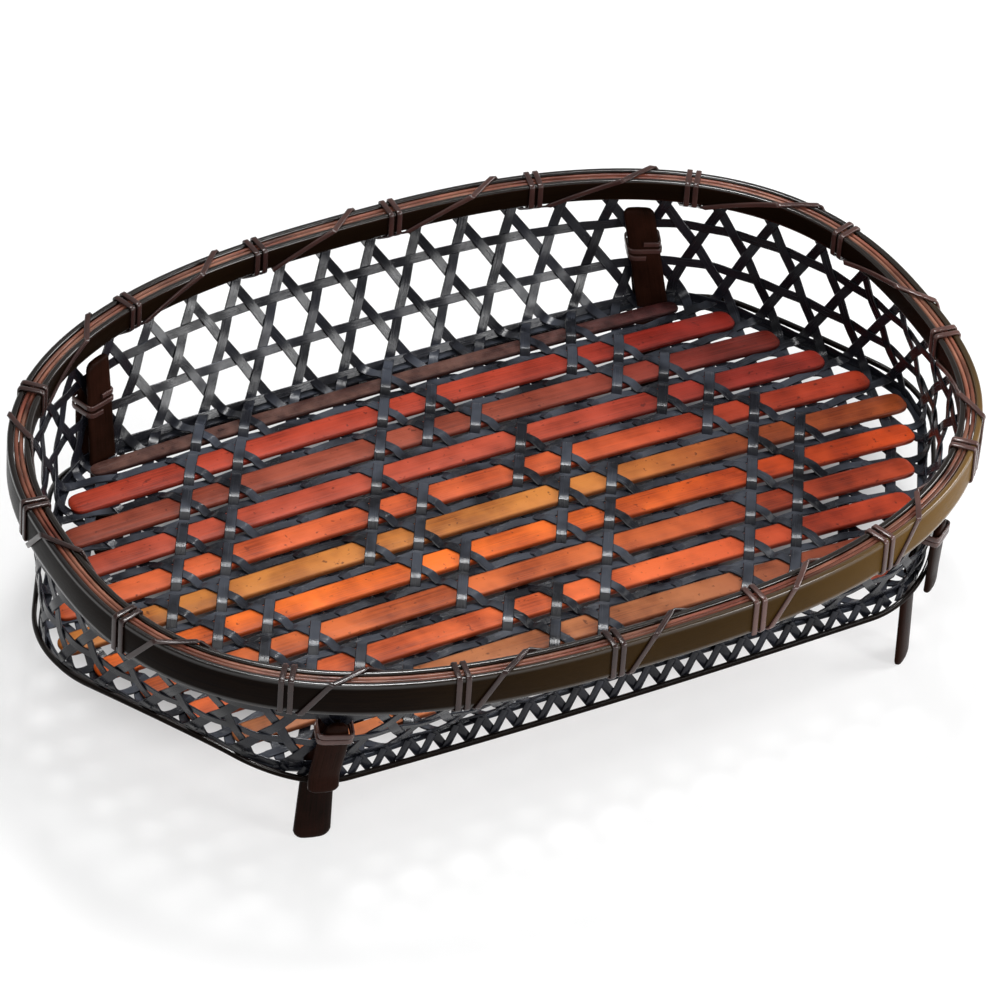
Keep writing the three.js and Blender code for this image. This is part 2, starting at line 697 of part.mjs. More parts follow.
/** The polygons of two strips that cross at a cell, with arms to the middle of the next rows. */
function crossingPolygons(u, row) {
  const half = CROSSING_WIDTH / (2 * Math.sin(Math.PI / 3)) / PITCH;
  const right = [u + half, row];
  const left = [u - half, row];
  const polygons = [];
  const tips = [1, -1].map((way) => [u, row + way * 2 * half]);
  polygons.push([right, tips[0], left, tips[1]]);
  for (const [k, way] of [[0, 1], [1, -1]]) {
    if (Math.abs(row + way) <= OUTERMOST_ROW) {
      const end = (side, edge) => [u + side / 4 + edge * half, row + way / 2];
      const rightArm = [right, end(1, 1), end(1, -1), tips[k]];
      const leftArm = [tips[k], end(-1, 1), end(-1, -1), left];
      polygons.push(...(way > 0 ? [rightArm, leftArm] : [rightArm.reverse(), leftArm.reverse()]));
    }
  }
  return polygons;
}

/** The crossings whose rings round the middle of the floor and whose side of it are asked for. */
function crossings(rings, accept) {
  const polygons = [];
  for (let row = -OUTERMOST_ROW; row <= OUTERMOST_ROW; row++) {
    for (const ring of rings) {
      const u = ring - Math.abs(row) / 2;
      for (const place of new Set([u, -u])) {
        if (u >= 0 && accept(place, row, ring)) {
          polygons.push(...crossingPolygons(place, row));
        }
      }
    }
  }
  return plate(polygons, (u, v, side) => {
    const x = u * PITCH;
    const y = v * ROW;
    const rise = 2 * CLEARANCE + SLAT_THICKNESS + (side > 0 ? CROSSING_THICKNESS : 0);
    return new THREE.Vector3(x, y, crown(x, y) + rise);
  });
}

// Floor weave

function floorWeave() {
  const lattice = toSolid(plate(floorPolygons(), (u, v, side) => {
    const x = u * PITCH;
    const y = v * ROW;
    return new THREE.Vector3(x, y, crown(x, y) - (side > 0 ? 0 : FLOOR_THICKNESS));
  }));
  const trim = -(BORDER_REACH_IN - BORDER_REACH_OUT) / 2;
  const level = (z) => baseOutline.points.map((_, i) => {
    const point = baseOutline.corner(i, trim);
    return new THREE.Vector3(point.x, point.y, z);
  });
  const inside = toSolid(loft([level(-FOOT_HEIGHT), level(RIM_TOP)], false));
  const border = toSolid(hoop(baseOutline, (share) => {
    const edge = edgeHeight(share);
    const bottom = edge - FLOOR_THICKNESS - BORDER_EXTRA;
    return rectangle(-BORDER_REACH_IN, BORDER_REACH_OUT, bottom, edge + BORDER_EXTRA);
  }));
  let floor = lattice.intersect(inside).add(border);
  for (const cell of Object.values(LEG_CELLS)) {
    floor = floor.subtract(toSolid(legStrip(cell, CLEARANCE)));
  }
  return toGeometry(floor);
}

// Assembly: heights so far are above the floor, so the basket stands on its feet inside a group.

const basket = new THREE.Group();
basket.position.z = FOOT_HEIGHT;

function addPiece(name, geometry, material) {
  const mesh = new THREE.Mesh(geometry, material);
  mesh.name = name;
  basket.add(mesh);
}

function addWinding(name, turns) {
  console.log(`${name}: least gap to itself ${leastGap(turns).toFixed(2)} mm`);
  addPiece(name, winding(turns), lashFinish);
}

addPiece('wall_weave', plate(wallPolygons(), wallPoint, CELLS), weaveFinish);
addPiece('floor_weave', floorWeave(), weaveFinish);

for (let row = OUTERMOST_ROW; row >= -OUTERMOST_ROW; row--) {
  const number = OUTERMOST_ROW - row + 1;
  const color = slatColors[(number - 1) % slatColors.length];
  addPiece(`slat_${String(number).padStart(2, '0')}`, slat(row), finish(color, 0.5));
}

const shownInCentre = (u, row, ring) => !(ring === CENTRE_RINGS[0] && Math.abs(row) === TUCKED_ROW);
addPiece('floor_crossings_center', crossings(CENTRE_RINGS, shownInCentre), crossingFinish);
addPiece('floor_crossings_left', crossings(END_RINGS, (u) => u < 0), crossingFinish);
addPiece('floor_crossings_right', crossings(END_RINGS, (u) => u > 0), crossingFinish);

addPiece('rim_outer_hoop', hoop(rimOutline, () => (
  rectangle(-HOOP_THICKNESS, 0, OUTER_HOOP_BOTTOM, RIM_TOP)
)), hoopFinish);
addPiece('rim_inner_hoop', hoop(rimOutline, () => (
  rectangle(-RIM_THICKNESS, HOOP_THICKNESS - RIM_THICKNESS, INNER_HOOP_BOTTOM, RIM_TOP)
)), hoopFinish);
addPiece('rim_filler', hoop(rimOutline, () => {
  const outer = -HOOP_THICKNESS - CLEARANCE;
  const top = RIM_TOP - FILLER_DROP;
  return rectangle(outer - FILLER_WIDTH, outer, top - FILLER_HEIGHT, top);
}), fillerFinish);

Object.keys(LEG_CELLS).forEach((quarter, k) => {
  const turns = lashingTurns(FIRST_STATION + (k * CELLS) / 4, CELLS / 4 / LASH_CELLS);
  addWinding(`rim_lashing_${quarter}`, turns);
});

addPiece('base_hoop', hoop(baseOutline, (share) => {
  const edge = edgeHeight(share);
  return rectangle(BASE_HOOP_INNER, BASE_HOOP_OUTER, edge - BASE_HOOP_DEPTH, edge);
}), hoopFinish);

for (const [corner, cell] of Object.entries(LEG_CELLS)) {
  addPiece(`leg_${corner}_inner`, legStrip(cell), legFinish);
  addPiece(`leg_${corner}_outer`, cleat(cell), legFinish);
  addWinding(`leg_${corner}_binding`, bindingTurns(cell));
}

const group = new THREE.Group();
group.add(basket);

export default group;
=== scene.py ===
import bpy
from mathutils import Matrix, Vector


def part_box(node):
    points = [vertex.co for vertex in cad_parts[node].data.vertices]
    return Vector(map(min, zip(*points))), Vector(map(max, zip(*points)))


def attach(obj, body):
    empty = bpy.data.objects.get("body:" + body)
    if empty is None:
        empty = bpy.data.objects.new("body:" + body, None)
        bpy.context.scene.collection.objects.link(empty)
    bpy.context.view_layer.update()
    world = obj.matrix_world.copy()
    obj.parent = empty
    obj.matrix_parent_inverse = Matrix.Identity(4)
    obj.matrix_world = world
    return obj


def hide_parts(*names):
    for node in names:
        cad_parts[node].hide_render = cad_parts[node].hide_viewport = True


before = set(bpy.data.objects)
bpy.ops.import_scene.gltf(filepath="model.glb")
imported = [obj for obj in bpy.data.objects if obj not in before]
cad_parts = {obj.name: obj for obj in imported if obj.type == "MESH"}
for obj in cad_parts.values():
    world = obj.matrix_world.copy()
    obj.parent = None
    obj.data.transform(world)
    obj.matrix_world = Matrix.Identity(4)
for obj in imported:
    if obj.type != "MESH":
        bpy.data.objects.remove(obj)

"""Looks of a footed serving basket: open hexagonal weave of flat strips, slats, hoops and lashings.

Sizes are in millimetres above the floor of the basket and become metres when a mesh is made.
"""

import logging
import math
from dataclasses import dataclass
from enum import Enum
from typing import Callable, Iterable, Sequence

import bpy
import numpy as np
from mathutils import Matrix, Vector

log = logging.getLogger("basket")

Color = tuple[float, float, float]
Place = tuple[float, float, float]
Slot = tuple[float, bool]
Levels = Iterable[tuple[float, float, float]]
Value = bpy.types.NodeSocket | float

METRES = 0.001
PITCH = 21.0
ROW = PITCH * math.sqrt(3) / 2
CELLS = 48
FOOT_HEIGHT = 42.0
# A slanting strip moves half a cell sideways in each row, and strips cross and reach the floor's
# edge a quarter of a cell from the cells and their middles.
LEAN = 0.5
QUARTER = 0.25
TINY = 1e-12
AT_CENTRE = 1e-9
MILLILITRES = 1e6


def smooth(share: np.ndarray | float) -> np.ndarray:
    """Eases shares that are cut to the range from 0 to 1, with level ends."""
    t = np.clip(share, 0.0, 1.0)
    return t * t * (3 - 2 * t)


def unit(vectors: np.ndarray) -> np.ndarray:
    """Scales one vector or rows of them to length one."""
    return vectors / np.maximum(np.linalg.norm(vectors, axis=-1, keepdims=True), TINY)


def cut(share: float) -> float:
    """Cuts a number to the range from 0 to 1."""
    return min(max(share, 0.0), 1.0)


def upward(count: int) -> np.ndarray:
    """Gives rows of a unit vector that points up."""
    return np.tile([0.0, 0.0, 1.0], (count, 1))


class Outline:
    """A smooth closed outline in plan, read by the share of the way round from its right end."""

    READINGS = 4800
    TANGENT_REACH = 6

    def __init__(self, points: np.ndarray) -> None:
        """Measures the outline.

        Args:
            points: Close points round the outline, without the first one repeated.
        """
        closed = np.vstack([points, points[:1]])
        steps = np.linalg.norm(np.diff(closed, axis=0), axis=1)
        self.length = float(steps.sum())
        self._shares = np.concatenate([[0.0], np.cumsum(steps)]) / self.length
        self._points = closed
        even = self._read(np.arange(self.READINGS) / self.READINGS)
        reach = self.TANGENT_REACH
        tangent = unit(np.roll(even, -reach, axis=0) - np.roll(even, reach, axis=0))
        normals = np.column_stack([tangent[:, 1], -tangent[:, 0]])
        self._normals = np.vstack([normals, normals[:1]])
        self._even = np.arange(self.READINGS + 1) / self.READINGS

    @staticmethod
    def _between(share: np.ndarray, knots: np.ndarray, rows: np.ndarray) -> np.ndarray:
        """Reads rows of x and y at shares of the way round, straight between their knots."""
        place = np.mod(share, 1.0)
        return np.stack([np.interp(place, knots, rows[:, k]) for k in (0, 1)], axis=-1)

    def _read(self, share: np.ndarray) -> np.ndarray:
        """Gives points of the outline at shares of the way round."""
        return self._between(share, self._shares, self._points)

    def normal(self, share: np.ndarray) -> np.ndarray:
        """Gives outward unit vectors at shares of the way round."""
        return unit(self._between(share, self._even, self._normals))

    def at(self, share: np.ndarray, offset: np.ndarray | float = 0.0) -> np.ndarray:
        """Gives points at a distance outside the outline.

        Args:
            share: Shares of the way round.
            offset: Distance outwards.

        Returns:
            Rows of x and y.
        """
        share = np.asarray(share, float)
        far = np.broadcast_to(np.asarray(offset, float), share.shape)
        return self._read(share) + self.normal(share) * far[..., None]


@dataclass(frozen=True)
class Form:
    """The sizes that the basket's sheets of weave and its hoops share."""

    base_half_length: float = 194.25
    base_half_width: float = 100.0
    base_corner_radius: float = 42.0
    rim_half_length: float = 189.4
    rim_half_width: float = 136.9
    rim_power: float = 2.5
    rim_top: float = 54.8
    rim_thickness: float = 9.0
    rim_shift: float = 0.4
    hoop_thickness: float = 2.4
    outer_hoop_height: float = 14.7
    inner_hoop_height: float = 9.7
    crown: float = 5.1
    wall_standing: float = 0.55
    clamp_row: float = 2.75
    leg_cells: tuple[float, ...] = (6.0, 18.0, 30.0, 43.0)
    corner_spots: int = 60
    rim_spots: int = 4000

    @property
    def clamp_height(self) -> float:
        """Height at which the wall goes in between the hoops."""
        return self.rim_top - self.inner_hoop_height

    def base(self) -> Outline:
        """Builds the floor's outline, a long hexagon with rounded corners.

        Returns:
            The outline.
        """
        length, width, radius = self.base_half_length, self.base_half_width, self.base_corner_radius
        corner = length - width / math.sqrt(3)
        along = [length, corner, -corner, -length, -corner, corner]
        across = [0, width, width, 0, -width, -width]
        inset = radius / math.cos(math.pi / 6)
        points = []
        for k in range(7):
            turn = k * math.pi / 3
            x = along[k % 6] - inset * math.cos(turn)
            y = across[k % 6] - inset * math.sin(turn)
            start = turn if k == 0 else turn - math.pi / 6
            end = turn if k == 6 else turn + math.pi / 6
            for angle in np.linspace(start, end, self.corner_spots):
                points.append((x + radius * math.cos(angle), y + radius * math.sin(angle)))
        return Outline(np.array(points[:-1]))

    def rim(self) -> Outline:
        """Builds the outline of the outer hoop's outer face.

        Returns:
            The outline.
        """
        angle = np.linspace(0, 2 * math.pi, self.rim_spots, endpoint=False)
        along = np.abs(np.cos(angle) / self.rim_half_length) ** self.rim_power
        across = np.abs(np.sin(angle) / self.rim_half_width) ** self.rim_power
        radius = (along + across) ** (-1 / self.rim_power)
        return Outline(np.column_stack([radius * np.cos(angle), radius * np.sin(angle)]))


FORM = Form()
BASE = FORM.base()
RIM = FORM.rim()
EDGE_SPOTS = 2400
BASE_EDGE = BASE.at(np.linspace(0, 1, EDGE_SPOTS, endpoint=False))


def crown(x: np.ndarray, y: np.ndarray) -> np.ndarray:
    """Gives heights of the crowned floor at places along and across the basket."""
    return FORM.crown * (1 - (x / FORM.rim_half_length) ** 2 - (y / FORM.rim_half_width) ** 2)


def rim_share(cell: np.ndarray | float) -> np.ndarray | float:
    """Gives the share of the way round the rim at cells counted round the wall."""
    return (cell + FORM.rim_shift * np.sin(4 * math.pi * cell / CELLS)) / CELLS


def rim_middle(cell: np.ndarray) -> np.ndarray:
    """Gives the middle of the rim in plan at cells counted round the wall."""
    return RIM.at(rim_share(cell), -FORM.rim_thickness / 2)


def wall_bottom(cell: np.ndarray) -> np.ndarray:
    """Gives the heights at which the wall starts at cells counted round it."""
    edge = BASE.at(cell / CELLS)
    return crown(edge[..., 0], edge[..., 1]) + FORM.wall_standing


def wall_sheet(cell: np.ndarray, row: np.ndarray) -> np.ndarray:
    """Gives points of the middle of the wall.

    Args:
        cell: Cells counted round the wall.
        row: Rows of the weave above the floor.

    Returns:
        Rows of x, y and z.
    """
    share = np.clip(row / FORM.clamp_row, 0, 1)
    low = BASE.at(cell / CELLS)
    plan = low + (rim_middle(cell) - low) * share[..., None]
    bottom = wall_bottom(cell)
    z = bottom + (FORM.clamp_height - bottom) * row / FORM.clamp_row
    return np.concatenate([plan, z[..., None]], axis=-1)


def wall_normals(cell: np.ndarray, row: np.ndarray) -> np.ndarray:
    """Gives unit vectors from the wall towards the inside of the basket.

    Args:
        cell: Cells counted round the wall.
        row: Rows of the weave above the floor.

    Returns:
        Rows of unit vectors.
    """
    step = 0.03
    along = wall_sheet(cell + step, row) - wall_sheet(cell - step, row)
    up = wall_sheet(cell, row + step) - wall_sheet(cell, row - step)
    return unit(np.cross(up, along))


@dataclass
class Path:
    """The middle line of one strip or strand."""

    points: np.ndarray
    facing: np.ndarray
    girth: np.ndarray
    tone: float | np.ndarray = 0.5
    closed: bool = False

    def squared(self) -> np.ndarray:
        """Turns the facing square to the path.

        Returns:
            Rows of unit vectors.
        """
        if self.closed:
            along = np.roll(self.points, -1, axis=0) - np.roll(self.points, 1, axis=0)
        else:
            along = np.gradient(self.points, axis=0)
        along = unit(along)
        return unit(self.facing - along * np.sum(self.facing * along, axis=1, keepdims=True))


@dataclass(frozen=True)
class Section:
    """The section of a strip: its width, its thickness and its rounded long corners."""

    width: float
    thickness: float
    corner: float
    steps: int = 1


STRAND = Section(2.2, 0.9, 0.3, 2)
STRAND_GAP = 0.5


class Tree:
    """A small helper that lays out nodes of a tree."""

    def __init__(self, tree: bpy.types.NodeTree) -> None:
        """Keeps the tree to add to."""
        self.tree = tree

    def add(self, kind: str, inputs: dict | None = None, **settings: object) -> bpy.types.Node:
        """Adds a node.

        Args:
            kind: The node's type.
            inputs: Values or sockets by the input's name or place.
            settings: The node's own properties.

        Returns:
            The node.
        """
        node = self.tree.nodes.new(kind)
        for name, value in settings.items():
            setattr(node, name, value)
        for name, value in (inputs or {}).items():
            if isinstance(value, bpy.types.NodeSocket):
                self.tree.links.new(value, node.inputs[name])
            else:
                node.inputs[name].default_value = value
        return node

    def math(self, operation: str, *values: Value) -> bpy.types.NodeSocket:
        """Adds a Math node and gives its result."""
        return self.add("ShaderNodeMath", dict(enumerate(values)), operation=operation).outputs[0]

    def noise(self, place: Value, scale: float, detail: float,
              roughness: float = 0.5) -> bpy.types.NodeSocket:
        """Adds a Noise Texture node and gives its result."""
        return self.add("ShaderNodeTexNoise", {"Vector": place, "Scale": scale, "Detail": detail,
                                               "Roughness": roughness}).outputs[0]

    def ramp(self, value: Value, reach: tuple[float, float], end: float = 1.0,
             start: float = 0.0, soft: bool = False) -> bpy.types.NodeSocket:
        """Adds a Map Range node.

        Args:
            value: What it reads.
            reach: The values between which the result changes.
            end: The result past the reach.
            start: The result before the reach.
            soft: Whether the change starts and ends gently.

        Returns:
            The result's socket.
        """
        node = self.add("ShaderNodeMapRange",
                        {0: value, 1: reach[0], 2: reach[1], 3: start, 4: end},
                        interpolation_type="SMOOTHSTEP" if soft else "LINEAR")
        return node.outputs[0]

    def blend(self, factor: Value, first: Value | Color, second: Value | Color,
              mode: str = "MIX") -> bpy.types.NodeSocket:
        """Adds a Mix node for colours.

        Args:
            factor: Share of the second colour.
            first: The first colour.
            second: The second colour.
            mode: The way in which they are mixed.

        Returns:
            The result's socket.
        """
        ends = {key: (*value, 1) if isinstance(value, tuple) else value
                for key, value in (("A", first), ("B", second))}
        node = self.add("ShaderNodeMix", {"Factor": factor, **ends},
                        data_type="RGBA", blend_type=mode)
        return node.outputs["Result"]

    def seen(self) -> bpy.types.NodeSocket:
        """Tells the rays that show a surface from those that only light others.

        Returns:
            The socket of 1 or 0.
        """
        ray = self.add("ShaderNodeLightPath").outputs
        mirrored = self.math("MAXIMUM", ray["Is Glossy Ray"], ray["Is Transmission Ray"])
        return self.math("MAXIMUM", ray["Is Camera Ray"], mirrored)


def emptied(owner: bpy.types.Material | bpy.types.World) -> Tree:
    """Clears the nodes of a material or a world.

    Args:
        owner: What has the nodes.

    Returns:
        Its empty tree.
    """
    owner.use_nodes = True
    owner.node_tree.nodes.clear()
    return Tree(owner.node_tree)


def placed(name: str, data: bpy.types.ID) -> bpy.types.Object:
    """Puts a mesh, a light or a camera into the scene at the origin.

    Args:
        name: The object's name.
        data: What it shows.

    Returns:
        The object.
    """
    made = bpy.data.objects.new(name, data)
    bpy.context.scene.collection.objects.link(made)
    return made


class BentStrip:
    """Geometry Nodes tree that runs a strip with eased corners along every path of a mesh."""

    INPUTS = (
        ("Geometry", "NodeSocketGeometry", None),
        ("Width", "NodeSocketFloat", 0.004),
        ("Thickness", "NodeSocketFloat", 0.001),
        ("Corner Radius", "NodeSocketFloat", 0.0002),
        ("Corner Steps", "NodeSocketInt", 1),
        ("Material", "NodeSocketMaterial", None),
    )

    def __init__(self) -> None:
        """Builds the tree."""
        group = bpy.data.node_groups.new("Bent strip", "GeometryNodeTree")
        self.sockets: dict[str, str] = {}
        for name, kind, value in self.INPUTS:
            socket = group.interface.new_socket(name, in_out="INPUT", socket_type=kind)
            if value is not None:
                socket.default_value = value
            self.sockets[name] = socket.identifier
        group.interface.new_socket("Geometry", in_out="OUTPUT", socket_type="NodeSocketGeometry")
        tree = Tree(group)
        given = tree.add("NodeGroupInput").outputs
        curves = tree.add("GeometryNodeMeshToCurve", {"Mesh": given["Geometry"]})
        length = tree.add("GeometryNodeSplineParameter").outputs["Length"]
        stored = tree.add("GeometryNodeStoreNamedAttribute",
                          {"Geometry": curves.outputs[0], "Name": "along", "Value": length},
                          data_type="FLOAT", domain="POINT")
        facing = tree.add("GeometryNodeInputNamedAttribute", {"Name": "facing"},
                          data_type="FLOAT_VECTOR")
        turned = tree.add("GeometryNodeSetCurveNormal",
                          {"Curve": stored.outputs[0], "Normal": facing.outputs[0]}, mode="FREE")
        section = tree.add("GeometryNodeCurvePrimitiveQuadrilateral",
                           {"Width": given["Thickness"], "Height": given["Width"]})
        eased = tree.add("GeometryNodeFilletCurve",
                         {"Curve": section.outputs[0], "Radius": given["Corner Radius"],
                          "Count": given["Corner Steps"], "Limit Radius": True}, mode="POLY")
        place = tree.add("GeometryNodeInputPosition").outputs[0]
        parts = tree.add("ShaderNodeSeparateXYZ", {0: place})
        share = tree.math("DIVIDE", parts.outputs["Y"], given["Width"])
        across = tree.add("GeometryNodeStoreNamedAttribute",
                          {"Geometry": eased.outputs[0], "Name": "across", "Value": share},
                          data_type="FLOAT", domain="POINT")
        girth = tree.add("GeometryNodeInputNamedAttribute", {"Name": "girth"}, data_type="FLOAT")
        solid = tree.add("GeometryNodeCurveToMesh",
                         {"Curve": turned.outputs[0], "Profile Curve": across.outputs[0],
                          "Scale": girth.outputs[0], "Fill Caps": True})
        soft = tree.add("GeometryNodeSetShadeSmooth", {"Geometry": solid.outputs[0]})
        real = tree.add("GeometryNodeRealizeInstances", {"Geometry": soft.outputs[0]})
        dressed = tree.add("GeometryNodeSetMaterial",
                           {"Geometry": real.outputs[0], "Material": given["Material"]})
        tree.add("NodeGroupOutput", {0: dressed.outputs[0]})
        self.group = group

    def make(self, name: str, paths: Sequence[Path], section: Section,
             material: bpy.types.Material, sharp: float = 50.0) -> bpy.types.Object:
        """Makes one plain mesh object from paths.

        Args:
            name: The object's name.
            paths: Middle lines of the strips.
            section: Their section.
            material: Their finish.
            sharp: Angle in degrees from which an edge stays sharp.

        Returns:
            The object.
        """
        points = np.vstack([path.points for path in paths]) + (0, 0, FOOT_HEIGHT)
        edges: list[tuple[int, int]] = []
        start = 0
        for path in paths:
            count = len(path.points)
            edges += [(start + i, start + i + 1) for i in range(count - 1)]
            if path.closed:
                edges.append((start + count - 1, start))
            start += count
        lines = bpy.data.meshes.new(f"{name}_lines")
        lines.from_pydata((points * METRES).tolist(), edges, [])
        tones = [np.full(len(path.points), path.tone) for path in paths]
        values = {
            "facing": ("FLOAT_VECTOR", "vector", np.vstack([path.squared() for path in paths])),
            "girth": ("FLOAT", "value", np.concatenate([path.girth for path in paths])),
            "tone": ("FLOAT", "value", np.concatenate(tones)),
        }
        for key, (kind, field, data) in values.items():
            layer = lines.attributes.new(key, kind, "POINT")
            layer.data.foreach_set(field, np.ascontiguousarray(data, np.float32).ravel())
        maker = placed(f"{name}_maker", lines)
        modifier = maker.modifiers.new("Bent strip", "NODES")
        modifier.node_group = self.group
        for key, value in (("Width", section.width * METRES),
                           ("Thickness", section.thickness * METRES),
                           ("Corner Radius", section.corner * METRES),
                           ("Corner Steps", section.steps),
                           ("Material", material)):
            modifier[self.sockets[key]] = value
        graph = bpy.context.evaluated_depsgraph_get()
        mesh = bpy.data.meshes.new_from_object(maker.evaluated_get(graph),
                                               preserve_all_data_layers=True, depsgraph=graph)
        maker.modifiers.clear()
        bpy.data.objects.remove(maker)
        bpy.data.meshes.remove(lines)
        return finished(name, mesh, sharp)


def finished(name: str, mesh: bpy.types.Mesh, sharp: float) -> bpy.types.Object:
    """Puts a mesh into the scene with smooth faces that point out.

    Args:
        name: The object's name.
        mesh: Its mesh in metres.
        sharp: Angle in degrees from which an edge stays sharp.

    Returns:
        The object.
    """
    mesh.name = name
    mesh.shade_smooth()
    mesh.set_sharp_from_angle(angle=math.radians(sharp))
    mesh.calc_loop_triangles()
    corners = np.empty(3 * len(mesh.loop_triangles), np.int32)
    mesh.loop_triangles.foreach_get("vertices", corners)
    places = np.empty(3 * len(mesh.vertices), np.float32)
    mesh.vertices.foreach_get("co", places)
    triangles = places.reshape(-1, 3)[corners.reshape(-1, 3)]
    a, b, c = triangles.transpose(1, 0, 2).astype(float)
    volume = float(np.einsum("ij,ij->i", a, np.cross(b, c)).sum() / 6)
    if volume < 0:
        mesh.flip_normals()
    log.info("%s: %d triangles, %.1f ml", name, len(triangles), abs(volume) * MILLILITRES)
    return placed(name, mesh)


def hold(piece: bpy.types.Object, slot: str, *nodes: str) -> None:
    """Fixes a piece to the basket in place of its solids.

    Args:
        piece: The piece.
        slot: The record's material slot; not used.
        nodes: Names of the solids that it stands for.
    """
    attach(piece, "root")
    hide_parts(*nodes)


# Bands of a pattern or a surface between which the finishes fade, and their other shared numbers.
GRAIN_SHIFT = 91.0
SPECK_SCALE = 420.0
SPECK_BAND = (0.66, 0.74)
CLOUD_BAND = (0.35, 0.65)
FIBRE_BAND = (0.3, 0.7)
# Painted shade on the long edges fades in over this band.
SIDE_SHADE_BAND = (0.40, 0.5)
POLISH_BAND = (0.36, 0.44)
# These three numbers place the painted sheen on faces that look up, in patches.
UPWARD_BAND = (0.80, 0.97)
SHEEN_PATCH_BAND = (0.42, 0.60)
LEAST_SHEEN_PATCH = 0.08
RELIEF = 0.0003


@dataclass(frozen=True)
class Fibre:
    """A lacquered bamboo finish: fibres along the piece, slow blotches and a thin gloss coat; where
    asked, also painted light, painted sheen and painted shade.
    """

    name: str
    base: Color
    dark: Color
    light: Color
    fibres: float = 5.0
    stretch: float = 60.0
    contrast: float = 0.35
    blotch: float = 0.35
    blotch_scale: float = 45.0
    bump: float = 0.25
    roughness: tuple[float, float] = (0.32, 0.5)
    coat: float = 0.25
    coat_roughness: float = 0.2
    specks: float = 0.0
    level: float = 0.5
    # The next field darkens the long edges of a piece with painted shade.
    edge: float = 0.0
    tone_gain: float = 0.0
    polish: float = 0.0
    # The next field is the colour of a painted sheen on faces that look up, laid on in patches.
    painted_light: Color | None = None
    # The next three fields multiply in painted shade towards the end at positive x.
    deep: Color | None = None
    painted_shade_from: float = 0.02
    painted_shade_to: float = 0.125

    def build(self) -> bpy.types.Material:
        """Builds the material.

        Returns:
            The material.
        """
        material = bpy.data.materials.new(self.name)
        tree = emptied(material)
        along, across, tone = (tree.add("ShaderNodeAttribute", attribute_name=key).outputs["Fac"]
                               for key in ("along", "across", "tone"))
        place = tree.add("ShaderNodeTexCoord").outputs["Object"]
        grain = tree.add("ShaderNodeCombineXYZ", {
            0: tree.math("MULTIPLY", along, self.stretch),
            1: tree.math("MULTIPLY", across, 2 * self.fibres),
            2: tree.math("MULTIPLY", tone, GRAIN_SHIFT),
        }).outputs[0]
        fibre = tree.noise(grain, scale=1.0, detail=5.0, roughness=0.65)
        cloud = tree.noise(place, self.blotch_scale, detail=3.0)
        half = self.contrast / 2
        low = tree.ramp(fibre, (0.5 - half, 0.5 + half), soft=True)
        shade = tree.ramp(cloud, CLOUD_BAND, self.blotch)
        # The tone lightens a piece towards its light colour; on the outer hoop and the lashing the
        # tone carries painted light.
        toned = tree.math("MULTIPLY_ADD", tone, self.tone_gain,
                          tree.math("MULTIPLY", shade, tree.math("ADD", tone, 0.5)))
        mixed = tree.blend(toned, tree.blend(low, self.dark, self.base), self.light)
        if self.specks:
            spots = tree.noise(place, SPECK_SCALE, detail=2.0)
            mixed = tree.blend(tree.ramp(spots, SPECK_BAND, self.specks), mixed, self.dark)
        # Painted shade along the long edges.
        if self.edge:
            side = tree.ramp(tree.math("ABSOLUTE", across), SIDE_SHADE_BAND, self.edge)
            mixed = tree.blend(side, mixed, self.dark)
        # Painted sheen: faces that look up are lightened in patches.
        if self.painted_light:
            normal = tree.add("ShaderNodeNewGeometry").outputs["Normal"]
            height = tree.add("ShaderNodeSeparateXYZ", {0: normal}).outputs[2]
            sheen_share = tree.math("MULTIPLY", tree.ramp(height, UPWARD_BAND),
                               tree.ramp(cloud, SHEEN_PATCH_BAND, start=LEAST_SHEEN_PATCH))
            mixed = tree.blend(sheen_share, mixed, self.painted_light)
        # Painted shade: darker towards the end at positive x.
        if self.deep:
            right = tree.add("ShaderNodeSeparateXYZ", {0: place}).outputs[0]
            shaded_share = tree.ramp(right, (self.painted_shade_from, self.painted_shade_to), soft=True)
            mixed = tree.blend(shaded_share, mixed, self.deep, "MULTIPLY")
        coat = self.coat
        if self.polish:
            coat = tree.ramp(tree.math("ABSOLUTE", across), POLISH_BAND, self.polish)
        relief = tree.add("ShaderNodeBump",
                          {"Strength": self.bump, "Distance": RELIEF, "Height": fibre})
        smoothest, roughest = self.roughness
        surface = tree.add("ShaderNodeBsdfPrincipled", {
            "Base Color": mixed,
            "Roughness": tree.ramp(fibre, FIBRE_BAND, roughest, smoothest),
            "Normal": relief.outputs[0],
            "Coat Weight": coat,
            "Coat Roughness": self.coat_roughness,
            "Specular IOR Level": self.level,
        })
        tree.add("ShaderNodeOutputMaterial", {"Surface": surface.outputs[0]})
        return material


class Dye(Enum):
    """The colours that the slats are dyed in."""

    BROWN = "slat_brown"
    RED = "slat_red"
    ORANGE = "slat_orange"
    OCHRE = "slat_ochre"


class Heading(Enum):
    """The three ways in which the strips of the weave run over the floor."""

    LENGTHWISE = "lengthwise"
    RISING = "rising"
    FALLING = "falling"


